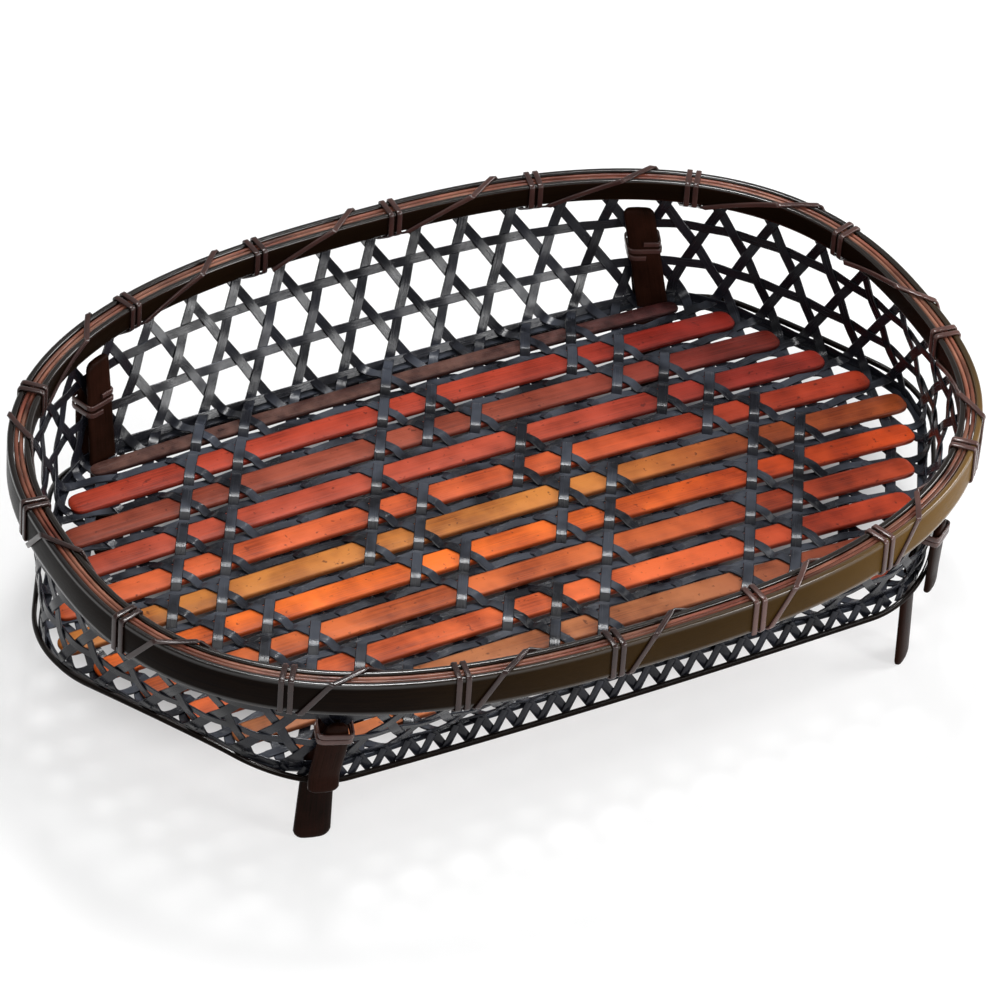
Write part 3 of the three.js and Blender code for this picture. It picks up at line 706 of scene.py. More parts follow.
@dataclass
class Weave:
    """The strips of the weave, each from the rim down a wall, over the floor and up to the rim."""

    strips: BentStrip
    section: Section = Section(4.2, 0.72, 0.24)
    sharp: float = 30.0
    lengthwise_width: float = 4.0
    wall_width: float = 4.0
    ring_width: float = 3.7
    wall_lift: float = 0.4
    under: tuple[float, float] = (-0.1, -0.85)
    between: tuple[float, float] = (0.9, 0.15)
    over: tuple[float, float] = (3.65, 2.9)
    flat_share: float = 0.57
    steps: int = 6
    knots: int = 44
    edge_steps: int = 40
    reach: float = 38.0
    bend: float = 6.5
    bend_drop: float = 0.35
    bend_spots: int = 9
    first_row: float = 0.3
    top_row: float = 3.08
    wall_spots: int = 28
    narrowing_spots: int = 10
    clamp_fade: float = 0.25
    leg_reach: float = 0.3
    leg_clearance: float = 0.14
    stub_row: float = -0.08
    stub_spots: int = 30
    ring_spots: int = 8
    lowest_lift: float = 0.5
    border_inset: float = 1.1
    border_drop: float = 0.7
    border_girth: float = 0.95
    lengthwise_pairs: int = 5
    diagonals: int = 18
    rings: tuple[float, ...] = (0.07, 1.0, 2.0)
    over_rings: tuple[float, ...] = (1.5, 2.5, 5.5, 6.5)
    ring_slack: float = 0.01
    bare_row: int = 2
    seed: int = 7

    def is_over(self, x: float, row: int) -> bool:
        """Tells whether the strips that cross at a slat lie over it.

        Args:
            x: Place along the slat in cells.
            row: The slat's row.

        Returns:
            True where they lie over the slat.
        """
        ring = abs(x) + abs(row) / 2
        near = [abs(ring - each) < self.ring_slack for each in self.over_rings]
        return any(near) and not (near[0] and abs(row) == self.bare_row)

    def floor_line(self, heading: Heading, number: float) -> tuple[np.ndarray, np.ndarray]:
        """Follows one strip over the floor as if the floor had no end.

        Args:
            heading: The way that it runs.
            number: The row or the cell in which it crosses the middle.

        Returns:
            Its points in plan and its level at each of them.
        """
        knots = np.arange(-self.knots, self.knots + 1)
        spots = np.arange(knots[0] * self.steps, knots[-1] * self.steps + 1) / self.steps
        if heading is Heading.LENGTHWISE:
            x = spots / 2 + QUARTER
            plan = np.column_stack([x * PITCH, np.full(len(x), number * ROW)])
            beside = np.abs(((x - number / 2) % 1) - 0.5)
            high, low = self.between
            return plan, low + (high - low) * smooth(1 - 2 * beside)
        lean = LEAN if heading is Heading.RISING else -LEAN
        layer = 0 if heading is Heading.RISING else 1
        row = spots / 2
        plan = np.column_stack([(number + lean * row) * PITCH, row * ROW])
        heights = []
        for knot in knots:
            if knot % 2:
                heights.append(self.between[1 - layer])
            else:
                above = self.is_over(number + lean * (knot // 2), knot // 2)
                heights.append((self.over if above else self.under)[layer])
        heights = np.array(heights)
        low = np.clip(np.floor(spots).astype(int) - knots[0], 0, len(knots) - 2)
        t = spots - np.floor(spots)
        from_slat = (low + knots[0]) % 2 == 0
        flat = self.flat_share
        eased = np.where(from_slat, smooth((t - flat) / (1 - flat)), smooth(t / (1 - flat)))
        return plan, heights[low] + (heights[low + 1] - heights[low]) * eased

    def wall_line(self, slot: float, rises_left: bool,
                  rows: np.ndarray) -> tuple[np.ndarray, np.ndarray]:
        """Follows one strip up the wall.

        Args:
            slot: The cell at which it stands on the floor's edge.
            rises_left: Whether it leans anticlockwise as it rises.
            rows: The rows at which it is read.

        Returns:
            Its points and its facing.
        """
        way = 1 if rises_left else -1
        cell = slot + way * LEAN * rows + self._aside(slot) * np.clip(1 - 2 * rows, 0, 1)
        facing = wall_normals(cell, rows)
        fade = np.clip((FORM.clamp_row - rows) / self.clamp_fade, 0, 1)
        lift = way * self.wall_lift * np.cos(2 * math.pi * rows) * fade
        return wall_sheet(cell, rows) + facing * lift[:, None], facing

    def strip(self, heading: Heading, number: float, start: Slot, end: Slot, tone: float) -> Path:
        """Joins a strip's two stretches of wall and its stretch of floor.

        Args:
            heading: The way that it runs over the floor.
            number: The row or the cell in which it crosses the middle.
            start: Slot in the floor's edge at its lower or left end, and whether it leans left.
            end: The same for its other end.
            tone: The strip's own shade.

        Returns:
            The path.
        """
        plan, level = self.floor_line(heading, number)
        inside = np.array([self._inside(point) for point in plan])
        first, last = np.flatnonzero(inside)[[0, -1]]
        crossings = (self._edge_point(plan[first - 1], plan[first]),
                     self._edge_point(plan[last + 1], plan[last]))
        gaps = [np.linalg.norm(plan - crossing, axis=1) for crossing in crossings]
        moved = plan.copy()
        for (slot, _), crossing, gap in zip((start, end), crossings, gaps):
            moved += (self._slot_point(slot) - crossing) * smooth(1 - gap / self.reach)[:, None]
        keep = inside & (gaps[0] > self.bend) & (gaps[1] > self.bend)
        floor = np.column_stack([moved[keep], crown(*moved[keep].T) + level[keep]])
        rows = np.linspace(self.first_row, self.top_row, self.wall_spots)
        t = np.linspace(0, 1, self.bend_spots)[1:-1, None]
        stretches = []
        for (slot, left), near in ((start, floor[0]), (end, floor[-1])):
            wall, facing = self.wall_line(slot, left, rows)
            lowest = wall_bottom(np.array(slot)) - self.bend_drop
            corner = np.append(self._slot_point(slot), lowest)
            bend = (1 - t) ** 2 * near + 2 * t * (1 - t) * corner + t ** 2 * wall[0]
            turn = unit((1 - t) * upward(1) + t * facing[0])
            stretches.append((np.vstack([bend, wall]), np.vstack([turn, facing])))
        (wall_a, face_a), (wall_b, face_b) = stretches
        points = np.vstack([wall_a[::-1], floor, wall_b])
        facing = np.vstack([face_a[::-1], upward(len(floor)), face_b])
        flat = self.lengthwise_width if heading is Heading.LENGTHWISE else self.section.width
        eased = smooth(np.arange(len(wall_b)) / self.narrowing_spots)
        climbing = flat - (flat - self.wall_width) * eased
        widths = np.concatenate([climbing[::-1], np.full(len(floor), flat), climbing])
        return Path(points, facing, widths / self.section.width, tone)

    @staticmethod
    def _inside(point: np.ndarray) -> bool:
        """Tells whether a point of the plan lies inside the floor's edge.

        Args:
            point: The point.

        Returns:
            True where it lies inside.
        """
        i = int(np.argmin(np.sum((BASE_EDGE - point) ** 2, axis=1)))
        outward = BASE.normal(np.array(i / EDGE_SPOTS))
        return bool(np.dot(point, point) < AT_CENTRE or np.dot(BASE_EDGE[i] - point, outward) > 0)

    def _edge_point(self, outside: np.ndarray, inside: np.ndarray) -> np.ndarray:
        """Finds where the floor ends between two points of the plan.

        Args:
            outside: The point outside the floor's edge.
            inside: The point inside it.

        Returns:
            The point on the edge.
        """
        between = outside + (inside - outside) * np.linspace(0, 1, self.edge_steps)[:, None]
        gaps = [np.min(np.sum((BASE_EDGE - point) ** 2, axis=1)) for point in between]
        return between[int(np.argmin(gaps))]

    def _aside(self, slot: float) -> float:
        """Tells how far a strip steps aside for a leg beside its slot.

        Args:
            slot: The cell at which the strip stands on the floor's edge.

        Returns:
            The step in cells.
        """
        legs = np.array(FORM.leg_cells)
        beside = slot - legs[np.argmin(np.abs(legs - slot))]
        return math.copysign(self.leg_clearance, beside) if abs(beside) < self.leg_reach else 0.0

    def _slot_point(self, slot: float) -> np.ndarray:
        """Gives the point of the floor's edge at a slot."""
        return BASE.at(np.array((slot + self._aside(slot)) / CELLS))

    def ring(self, row: float, tone: float) -> Path:
        """Follows a strip that runs round the wall.

        Args:
            row: Its row.
            tone: Its own shade.

        Returns:
            The path.
        """
        spots = np.arange(self.ring_spots * CELLS) / self.ring_spots
        rows = np.full(len(spots), row)
        facing = wall_normals(spots, rows)
        lift = -self.wall_lift * np.cos(2 * math.pi * (spots - QUARTER - LEAN * round(row)))
        lowest = self.lowest_lift if row == self.rings[0] else 0.0
        points = wall_sheet(spots, rows) + facing * (lift + lowest)[:, None]
        girth = np.full(len(spots), self.ring_width / self.section.width)
        return Path(points, facing, girth, tone, True)

    def border(self, tone: float) -> Path:
        """Follows the strip that lies round the floor's edge.

        Args:
            tone: Its own shade.

        Returns:
            The path.
        """
        count = self.ring_spots * CELLS
        share = np.arange(count) / count
        heights = crown(*BASE.at(share).T) - self.border_drop
        points = np.column_stack([BASE.at(share, -self.border_inset), heights])
        return Path(points, upward(count), np.full(count, self.border_girth), tone, True)

    def stub(self, slot: Slot, tone: float) -> Path:
        """Follows a strip that starts at the floor's edge and only climbs the wall.

        Args:
            slot: The cell at which it starts and whether it leans anticlockwise as it rises.
            tone: Its own shade.

        Returns:
            The path.
        """
        rows = np.linspace(self.stub_row, self.top_row, self.stub_spots)
        points, facing = self.wall_line(*slot, rows)
        girth = np.full(len(rows), self.wall_width / self.section.width)
        return Path(points, facing, girth, tone)

    def _slot(self, count: int, half: float) -> Slot:
        """Gives the slot at which a strip across the basket reaches the floor's edge.

        Args:
            count: The strip's number, counted from the basket's end.
            half: The cell at which this half of the edge starts.

        Returns:
            The slot and whether the strip leans anticlockwise there.
        """
        at_corner = count < self.lengthwise_pairs
        return half + count + 1 + (QUARTER if at_corner else -QUARTER), at_corner

    def paths(self) -> dict[str, list[Path]]:
        """Lays out all the strips.

        Returns:
            Their paths by the piece that they belong to.
        """
        shades = np.random.default_rng(self.seed)
        opposite = CELLS / 2
        lengthwise, rising, falling = [], [], []
        for m in range(self.lengthwise_pairs):
            for side in (1, -1):
                right = m + 1 - QUARTER if side > 0 else CELLS - m - 1 + QUARTER
                left = opposite - right if side > 0 else opposite + (CELLS - right)
                lengthwise.append(self.strip(Heading.LENGTHWISE, side * (m + 0.5),
                                             (left, side > 0), (right, side < 0),
                                             shades.random()))
        for k in range(self.diagonals):
            number = (self.diagonals - 1) / 2 - k
            ends = self._slot(self.diagonals - 1 - k, opposite), self._slot(k, 0.0)
            rising.append(self.strip(Heading.RISING, number, *ends, shades.random()))
            mirrored = [((opposite - slot) % CELLS, not left) for slot, left in ends]
            falling.append(self.strip(Heading.FALLING, -number, *mirrored, shades.random()))
        for strips, quarter, left in ((rising, QUARTER, True), (falling, -QUARTER, False)):
            for half in (0.0, opposite):
                strips.append(self.stub((half + quarter, left), shades.random()))
        rings = [self.ring(row, shades.random()) for row in self.rings]
        rings.append(self.border(shades.random()))
        return {"strips_lengthwise": lengthwise, "strips_rising": rising,
                "strips_falling": falling, "wall_rings": rings}

    def build(self, material: bpy.types.Material) -> None:
        """Makes the weave's pieces.

        Args:
            material: The finish of the strips.
        """
        nodes = {
            "strips_lengthwise": ("weave", "floor_weave"),
            "strips_rising": ("weave_top", "floor_crossings_center", "floor_crossings_right"),
            "strips_falling": ("weave_top", "floor_crossings_left"),
            "wall_rings": ("weave", "wall_weave"),
        }
        for name, paths in self.paths().items():
            piece = self.strips.make(name, paths, self.section, material, self.sharp)
            hold(piece, *nodes[name])


@dataclass(frozen=True)
class Slat:
    """One slat of the floor and the colour that it is dyed."""

    row: int
    dye: Dye
    base: Color
    knotty: bool = False

    @property
    def order(self) -> int:
        """Number of the slat, counted from the back."""
        return 6 - self.row

    @property
    def name(self) -> str:
        """Name of the slat's node."""
        return f"slat_{self.order:02d}"

    def shade(self, factors: Color) -> Color:
        """Gives a darker or lighter shade of the dye by factors on its three colours."""
        return tuple(own * factor for own, factor in zip(self.base, factors))

    def finish(self) -> Fibre:
        """Chooses the slat's finish, which is paler in small knots where the slat is knotty, with
        painted shade along its long edges and towards its end at positive x.

        Returns:
            The finish.
        """
        pale, scale, bump = (1.4, 1.7, 2.1), 52.0, 0.45
        if self.knotty:
            pale, scale, bump = (3.2, 5.0, 5.5), 150.0, 0.9
        # The slat is painted with shade along its long edges and towards its end at positive x.
        return Fibre(f"{self.name} {self.dye.name.lower()}", self.base,
                     self.shade((0.30, 0.26, 0.30)), self.shade(pale), fibres=9.0, stretch=26.0,
                     contrast=0.60, blotch=0.9, blotch_scale=scale, bump=bump,
                     roughness=(0.34, 0.50), coat=0.0, specks=0.9, level=0.14, edge=0.92,
                     deep=(0.62, 0.36, 0.46))


@dataclass
class Slats:
    """The slats laid over the floor's weave."""

    strips: BentStrip
    width: float = 11.5
    edge_width: float = 7.2
    thickness: float = 2.2
    rise: float = 0.3
    corner: float = 0.8
    corner_steps: int = 3
    tip_length: float = 8.0
    tip_places: tuple[float, ...] = (0.0, 0.35, 0.9, 1.7, 2.8, 4.2, 6.0)
    tip_sizes: tuple[float, ...] = (0.30, 0.50, 0.68, 0.82, 0.92, 0.98, 1.0)
    body_spots: int = 40
    edge_row: int = 5
    slats: tuple[Slat, ...] = (
        Slat(5, Dye.BROWN, (0.052, 0.016, 0.011), True),
        Slat(4, Dye.RED, (0.34, 0.033, 0.012)),
        Slat(3, Dye.BROWN, (0.24, 0.042, 0.018)),
        Slat(2, Dye.RED, (0.34, 0.044, 0.017)),
        Slat(1, Dye.RED, (0.46, 0.070, 0.016)),
        Slat(0, Dye.OCHRE, (0.37, 0.108, 0.017)),
        Slat(-1, Dye.ORANGE, (0.58, 0.092, 0.009)),
        Slat(-2, Dye.ORANGE, (0.41, 0.074, 0.015)),
        Slat(-3, Dye.RED, (0.49, 0.076, 0.016)),
        Slat(-4, Dye.OCHRE, (0.28, 0.080, 0.024)),
        Slat(-5, Dye.ORANGE, (0.34, 0.078, 0.018)),
    )

    def path(self, slat: Slat) -> Path:
        """Follows a slat along its middle.

        Args:
            slat: The slat.

        Returns:
            Its path.
        """
        low, high = (np.array(corner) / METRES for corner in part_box(slat.name))
        half = high[0]
        tips, sizes = np.array(self.tip_places), np.array(self.tip_sizes)
        body = np.linspace(-half + self.tip_length, half - self.tip_length, self.body_spots)
        x = np.concatenate([-half + tips, body, half - tips[::-1]])
        y = np.full(len(x), (low[1] + high[1]) / 2)
        z = crown(x, y) + self.rise + self.thickness / 2
        girth = np.concatenate([sizes, np.ones(len(body)), sizes[::-1]])
        tone = slat.order / (len(self.slats) + 1)
        return Path(np.column_stack([x, y, z]), upward(len(x)), girth, tone)

    def build(self) -> None:
        """Makes the slats."""
        for slat in self.slats:
            width = self.edge_width if abs(slat.row) == self.edge_row else self.width
            section = Section(width, self.thickness, self.corner, self.corner_steps)
            piece = self.strips.make(f"floor_{slat.name}", [self.path(slat)], section,
                                     slat.finish().build())
            hold(piece, slat.dye.value, slat.name)


@dataclass
class Rim:
    """The two hoops of the rim, the filler between them and the lashing round all three."""

    strips: BentStrip
    spots: int = 480
    outer: Section = Section(FORM.outer_hoop_height, FORM.hoop_thickness, 0.75, 3)
    inner: Section = Section(FORM.inner_hoop_height, FORM.hoop_thickness, 0.75, 3)
    inner_tone: float = 0.02
    filler: Section = Section(3.0, 1.65, 0.6, 2)
    filler_lines: tuple[tuple[float, float, float], ...] = ((-3.55, 2.0, 0.2), (-5.45, 2.1, 0.8))
    strand: Section = STRAND
    gap: float = STRAND_GAP
    under_gap: float = 0.5
    under_share: float = 0.35
    inner_facing: tuple[float, float] = (-0.63, -0.77)
    spacing: float = 3.6
    slant_start: float = 5.4
    slant_shares: tuple[float, float] = (0.25, 0.45)
    lash_cells: int = 3
    first_station: int = 2
    round_reach: float = 1.1
    round_share: float = 2.2
    round_spots: int = 5
    stretch: float = 6.0
    # These numbers paint light on the outer hoop, most towards the front right.
    painted_light_towards: float = math.radians(-48)
    painted_light_from: float = 0.1
    painted_light_power: int = 5
    # The tone of each quarter's lashing is painted light, most at the front right.
    lash_painted_light: tuple[float, ...] = (0.40, 0.2, 0.05, 0.75)

    def loop(self, offset: float, z: float, tone: float | np.ndarray) -> Path:
        """Follows the rim at a distance from its outer face.

        Args:
            offset: Distance outwards.
            z: Height.
            tone: The hoop's own shade.

        Returns:
            The path.
        """
        share = np.arange(self.spots) / self.spots
        points = np.column_stack([RIM.at(share, offset), np.full(self.spots, z)])
        facing = np.column_stack([RIM.normal(share), np.zeros(self.spots)])
        return Path(points, facing, np.ones(self.spots), tone, True)

    def painted_light(self) -> np.ndarray:
        """Paints light on the outer hoop, most towards the front right.

        Returns:
            The share of painted light at each spot of the hoop.
        """
        normal = RIM.normal(np.arange(self.spots) / self.spots)
        turned = normal @ np.array([math.cos(self.painted_light_towards), math.sin(self.painted_light_towards)])
        share = np.clip((turned - self.painted_light_from) / (1 - self.painted_light_from), 0, 1)
        return share ** self.painted_light_power

    def lashing(self, first_cell: float) -> Path:
        """Follows the lashing over the stations of one quarter of the rim.

        Args:
            first_cell: The cell of its first station.

        Returns:
            The path.
        """
        gap = self.gap
        top = FORM.rim_top + gap
        low = FORM.rim_top - FORM.outer_hoop_height - gap
        inside = -FORM.rim_thickness - gap
        under = -FORM.hoop_thickness - self.under_gap - gap * self.under_share
        # Offset and height of each turning point, and the way that the stretch after it faces.
        turns = {
            "outer_low": ((gap, low), (1, 0)),
            "outer_top": ((gap, top), (0, 1)),
            "inner_top": ((inside, top), (-1, 0)),
            "inner_low": ((inside, FORM.clamp_height - gap), self.inner_facing),
            "under": ((under, low), (0, -1)),
        }
        knots: list[tuple[float, float, float]] = []
        faces: list[tuple[float, float]] = []

        def add(name: str, share: float) -> None:
            """Adds a turning point and the way that the stretch after it faces."""
            knots.append((share, *turns[name][0]))
            faces.append(turns[name][1])

        over = ("outer_low", "outer_top", "inner_top", "inner_low")
        stations = CELLS // 4 // self.lash_cells
        for k in range(stations):
            here = float(rim_share(first_cell + k * self.lash_cells))
            after = float(rim_share(first_cell + (k + 1) * self.lash_cells))
            span = (after - here) * RIM.length
            for wrap in (-self.spacing / 2, self.spacing / 2):
                following = self.spacing / 2 if wrap < 0 else self.slant_start
                for name in over:
                    add(name, here + wrap / RIM.length)
                add("under", here + (wrap + following) / 2 / RIM.length)
            rising = (share * span for share in self.slant_shares)
            for name, place in zip(over, (self.slant_start, *rising, span - self.slant_start)):
                add(name, here + place / RIM.length)
            if k < stations - 1:
                back = (self.slant_start + self.spacing / 2) / 2
                add("under", here + (span - back) / RIM.length)
        return self._wound(knots, faces)

    def _wound(self, knots: list[tuple[float, float, float]],
               faces: list[tuple[float, float]]) -> Path:
        """Rounds the corners of a wound strand.

        Args:
            knots: Share, offset and height at each turning point.
            faces: The way that the stretch after each of them faces, outwards and up.

        Returns:
            The path.
        """
        scaled = np.array(knots) * (RIM.length, 1, 1)
        places, ways = [], []
        for i, knot in enumerate(scaled):
            if i in (0, len(scaled) - 1):
                places.append(knot)
                ways.append(faces[min(i, len(faces) - 2)])
                continue
            start, end = (knot + unit(side) * min(self.round_reach,
                                                  np.linalg.norm(side) / self.round_share)
                          for side in (scaled[i - 1] - knot, scaled[i + 1] - knot))
            for t in np.linspace(0, 1, self.round_spots):
                places.append((1 - t) ** 2 * start + 2 * t * (1 - t) * knot + t * t * end)
                ways.append(np.array(faces[i - 1]) * (1 - t) + np.array(faces[i]) * t)
            pieces = int(np.linalg.norm(scaled[i + 1] - knot) // self.stretch)
            for k in range(1, pieces):
                places.append(end + (scaled[i + 1] - end) * k / (pieces + 0.5))
                ways.append(faces[i])
        places = np.array(places, float)
        ways = np.array(ways, float)
        share = places[:, 0] / RIM.length
        points = np.column_stack([RIM.at(share, places[:, 1]), places[:, 2]])
        facing = np.column_stack([RIM.normal(share) * ways[:, :1], ways[:, 1]])
        return Path(points, facing, np.ones(len(points)))

    def build(self, hoop: bpy.types.Material, filler: bpy.types.Material,
              lash: bpy.types.Material) -> None:
        """Makes the rim's pieces.

        Args:
            hoop: Finish of the hoops.
            filler: Finish of the filler.
            lash: Finish of the lashing.
        """
        top = FORM.rim_top
        # The outer hoop's tone is painted light, most towards the front right.
        outer = self.loop(-self.outer.thickness / 2, top - self.outer.width / 2, self.painted_light())
        inner = self.loop(self.inner.thickness / 2 - FORM.rim_thickness,
                          top - self.inner.width / 2, self.inner_tone)
        fillers = [self.loop(offset, top - deep, tone) for offset, deep, tone in self.filler_lines]
        for name, paths, section, finish, slot, node in (
                ("rim_hoop_outside", [outer], self.outer, hoop, "hoop", "rim_outer_hoop"),
                ("rim_hoop_inside", [inner], self.inner, hoop, "hoop", "rim_inner_hoop"),
                ("rim_filler_strips", fillers, self.filler, filler, "filler", "rim_filler")):
            hold(self.strips.make(name, paths, section, finish), slot, node)
        for k, quarter in enumerate(("back_right", "back_left", "front_left", "front_right")):
            path = self.lashing(self.first_station + k * CELLS / 4)
            # The lashing's tone is painted light.
            path.tone = self.lash_painted_light[k]
            piece = self.strips.make(f"lashing_{quarter}", [path], self.strand, lash)
            hold(piece, "lashing", f"rim_lashing_{quarter}")


@dataclass
class BaseHoop:
    """The thin hoop round the foot of the wall and the strip ends that run down to it."""

    strips: BentStrip
    section: Section = Section(2.3, 1.9, 0.7, 3)
    inner: float = 0.95
    drop: float = 0.9
    sag: float = 9.2
    sag_power: int = 8
    flare: float = 1.8
    raised: float = 2.6
    raised_gap: float = 0.5
    spots: int = 480
    strip: Section = Section(3.6, 0.6, 0.2)
    strip_spots: int = 6
    least_reach: float = 1.2
    strip_offset: float = 0.55
    strip_rise: float = 0.4
    strip_gap: float = 0.65
    layer_gap: float = 0.3
    seed: int = 11

    def sagging(self, share: np.ndarray) -> np.ndarray:
        """Gives shares of the sag: all in the middle of a long side, none at the ends."""
        x, y = np.abs(BASE.at(share).T)
        return ((y / FORM.base_half_width) ** self.sag_power
                * (1 - (x / FORM.base_half_length) ** 2))

    def line(self, share: np.ndarray) -> tuple[np.ndarray, np.ndarray]:
        """Follows the middle of the hoop.

        Args:
            share: Shares of the way round.

        Returns:
            Its points and its outward way.
        """
        sag = self.sagging(share)
        outward = np.column_stack([BASE.normal(share), np.zeros(len(share))])
        raised = np.clip(np.abs(outward[:, 0]) / math.sin(math.radians(60)), 0, 1) ** 2
        row = self.raised * raised * FORM.clamp_row / FORM.clamp_height
        aside = (self.inner + self.section.thickness / 2 + self.flare * sag
                 + self.raised_gap * raised)
        points = wall_sheet(share * CELLS, row) + outward * aside[:, None]
        points[:, 2] -= self.drop + self.sag * sag - self.section.width / 2
        return points, outward

    def ends(self, tones: np.random.Generator) -> list[Path]:
        """Lays the wall's strips on past the floor's edge, down to the hoop.

        Args:
            tones: Gives each strip its shade.

        Returns:
            Their paths.
        """
        paths = []
        t = np.linspace(0, 1, self.strip_spots)
        for cell in np.arange(QUARTER, CELLS, LEAN):
            reach = float(self.sagging(np.array([cell / CELLS]))[0]) * self.sag
            if reach < self.least_reach:
                continue
            for way in (1, -1):
                share = (cell - way * LEAN * t * (reach + self.drop) / ROW) / CELLS
                low, outward = self.line(share)
                high = np.column_stack([BASE.at(share, self.strip_offset + self.layer_gap * way),
                                        wall_bottom(share * CELLS) + self.strip_rise])
                low = low - outward * (self.section.thickness / 2 + self.strip_gap
                                       - self.layer_gap * way)
                points = high + (low - high) * t[:, None]
                paths.append(Path(points, outward, np.ones(len(t)), float(tones.random())))
        return paths

    def build(self, hoop: bpy.types.Material, weave: bpy.types.Material) -> None:
        """Makes the hoop and the strip ends above it.

        Args:
            hoop: Finish of the hoop.
            weave: Finish of the strips.
        """
        points, outward = self.line(np.arange(self.spots) / self.spots)
        path = Path(points, outward, np.ones(self.spots), 0.0, True)
        hold(self.strips.make("base_band", [path], self.section, hoop), "hoop", "base_hoop")
        ends = self.ends(np.random.default_rng(self.seed))
        hold(self.strips.make("strip_ends", ends, self.strip, weave), "weave", "base_hoop")


@dataclass
class Leg:
    """One leg: a long strip inside the wall, a short one outside it and the binding round both.

    A level of a strip is its height and the shares of the width and of the thickness there.
    """

    strips: BentStrip
    corner: str
    cell: float
    width: float = 12.5
    thickness: float = 3.0
    outer_offset: float = -1.87
    lean: float = 0.12
    slant: float = 0.0
    bow: float = 26.0
    top_gap: float = 4.0
    head: Levels = ((-0.9, 0.93, 0.95), (0.0, 0.78, 0.7))
    head_height: float = 2.0
    shaft_spots: int = 24
    foot: Levels = ((0.0, 0.72, 0.80), (0.5, 0.81, 0.92), (1.5, 0.93, 1.0))
    foot_width: float = 14.5
    foot_height: float = 3.0
    cleat_width: float = 12.0
    cleat_thickness: float = 3.0
    cleat_low: float = 4.1
    cleat_high: float = 1.1
    cleat_bottom: float = -6.6
    cleat_foot: Levels = ((0.0, 0.70, 0.7), (0.6, 0.86, 0.92))
    cleat_head: Levels = ((-0.6, 0.78, 0.92), (0.0, 0.55, 0.7))
    cleat_margin: float = 1.6
    cleat_spots: int = 20
    tip_width: float = 6.5
    tip_rise: float = 4.0
    around: int = 28
    powers: tuple[float, float] = (0.42, 0.5)
    sharp: float = 60.0
    strand: Section = STRAND
    strand_gap: float = STRAND_GAP
    strand_power: float = 0.32
    facing_power: int = 5
    binding_row: float = 1.45
    turns: int = 2
    turn_spots: int = 64
    tones: int = 7
    rise: float = 2.9

    @property
    def bottom(self) -> float:
        """Height at which the wall starts at the leg."""
        return float(wall_bottom(np.array(self.cell)))

    @property
    def binding_start(self) -> float:
        """Height at which the binding starts."""
        climb = (FORM.clamp_height - self.bottom) * self.binding_row / FORM.clamp_row
        return self.bottom + climb - self.turns * self.rise / 2

    @property
    def cleat_top(self) -> float:
        """Height of the top of the short strip, a little over the binding."""
        return self.binding_start + self.turns * self.rise + self.tip_rise

    def frame_at(self, z: float) -> tuple[np.ndarray, np.ndarray, np.ndarray]:
        """Finds the leg's middle at a height.

        Args:
            z: The height.

        Returns:
            The middle in plan, the outward way and the sideways way.
        """
        cell = np.array(self.cell)
        above = z - self.bottom
        share = cut(above / (FORM.clamp_height - self.bottom))
        outward = unit(BASE.normal(cell / CELLS) * (1 - share)
                       + RIM.normal(rim_share(cell)) * share)
        sideways = np.array([-outward[1], outward[0]])
        low = BASE.at(cell / CELLS)
        leaning = (outward * self.lean + sideways * self.slant) * min(above, 0.0)
        return low + (rim_middle(cell) - low) * share + leaning, outward, sideways

    def point(self, z: float, across: float, offset: float) -> np.ndarray:
        """Gives the point at a height and at distances sideways and outwards of the middle."""
        middle, outward, sideways = self.frame_at(z)
        return np.append(middle + sideways * across + outward * offset, z)

    def cleat_offset(self, z: float) -> float:
        """Gives the distance from the leg's middle to the short strip's inner face at a height.

        Args:
            z: Height.

        Returns:
            The distance.
        """
        above = z - self.bottom
        share = cut(above / (self.cleat_top - self.bottom))
        return (self.cleat_low + (self.cleat_high - self.cleat_low) * share
                - self.lean * min(above, 0.0))

    def board(self, name: str, levels: Levels, inner: Callable[[float], float],
              thickness: float, width: float, material: bpy.types.Material) -> bpy.types.Object:
        """Makes an upright board with a rounded section.

        Args:
            name: The object's name.
            levels: Height, share of the width and share of the thickness at each level.
            inner: Gives the offset of the inner face at a height.
            thickness: Thickness of the board.
            width: Its width.
            material: Its finish.

        Returns:
            The object.
        """
        around = self.around
        angle = np.linspace(0, 2 * math.pi, around, endpoint=False)
        c, s = np.cos(angle), np.sin(angle)
        along = np.sign(c) * np.abs(c) ** self.powers[0]
        out = np.sign(s) * np.abs(s) ** self.powers[1]
        rings, heights = [], []
        for z, wide, deep in levels:
            middle = inner(z) + thickness / 2
            for a, o in zip(along * width / 2 * wide, out * thickness / 2 * deep):
                bowed = (a * a) / (2 * self.bow) * (0.5 + 0.5 * np.sign(o))
                rings.append(self.point(z, a, middle + o - bowed))
            heights.append(z)
        count = len(heights)
        faces = [(i * around + k, i * around + (k + 1) % around,
                  (i + 1) * around + (k + 1) % around, (i + 1) * around + k)
                 for i in range(count - 1) for k in range(around)]
        faces += [tuple(range(around))[::-1],
                  tuple((count - 1) * around + k for k in range(around))]
        mesh = bpy.data.meshes.new(name)
        mesh.from_pydata(((np.array(rings) + (0, 0, FOOT_HEIGHT)) * METRES).tolist(), [], faces)
        values = {"along": np.repeat(heights, around) * METRES,
                  "across": np.tile(along / 2, count),
                  "tone": np.full(count * around, self.cell % self.tones / self.tones)}
        for key, data in values.items():
            layer = mesh.attributes.new(key, "FLOAT", "POINT")
            layer.data.foreach_set("value", data.astype(np.float32))
        mesh.materials.append(material)
        return finished(name, mesh, self.sharp)

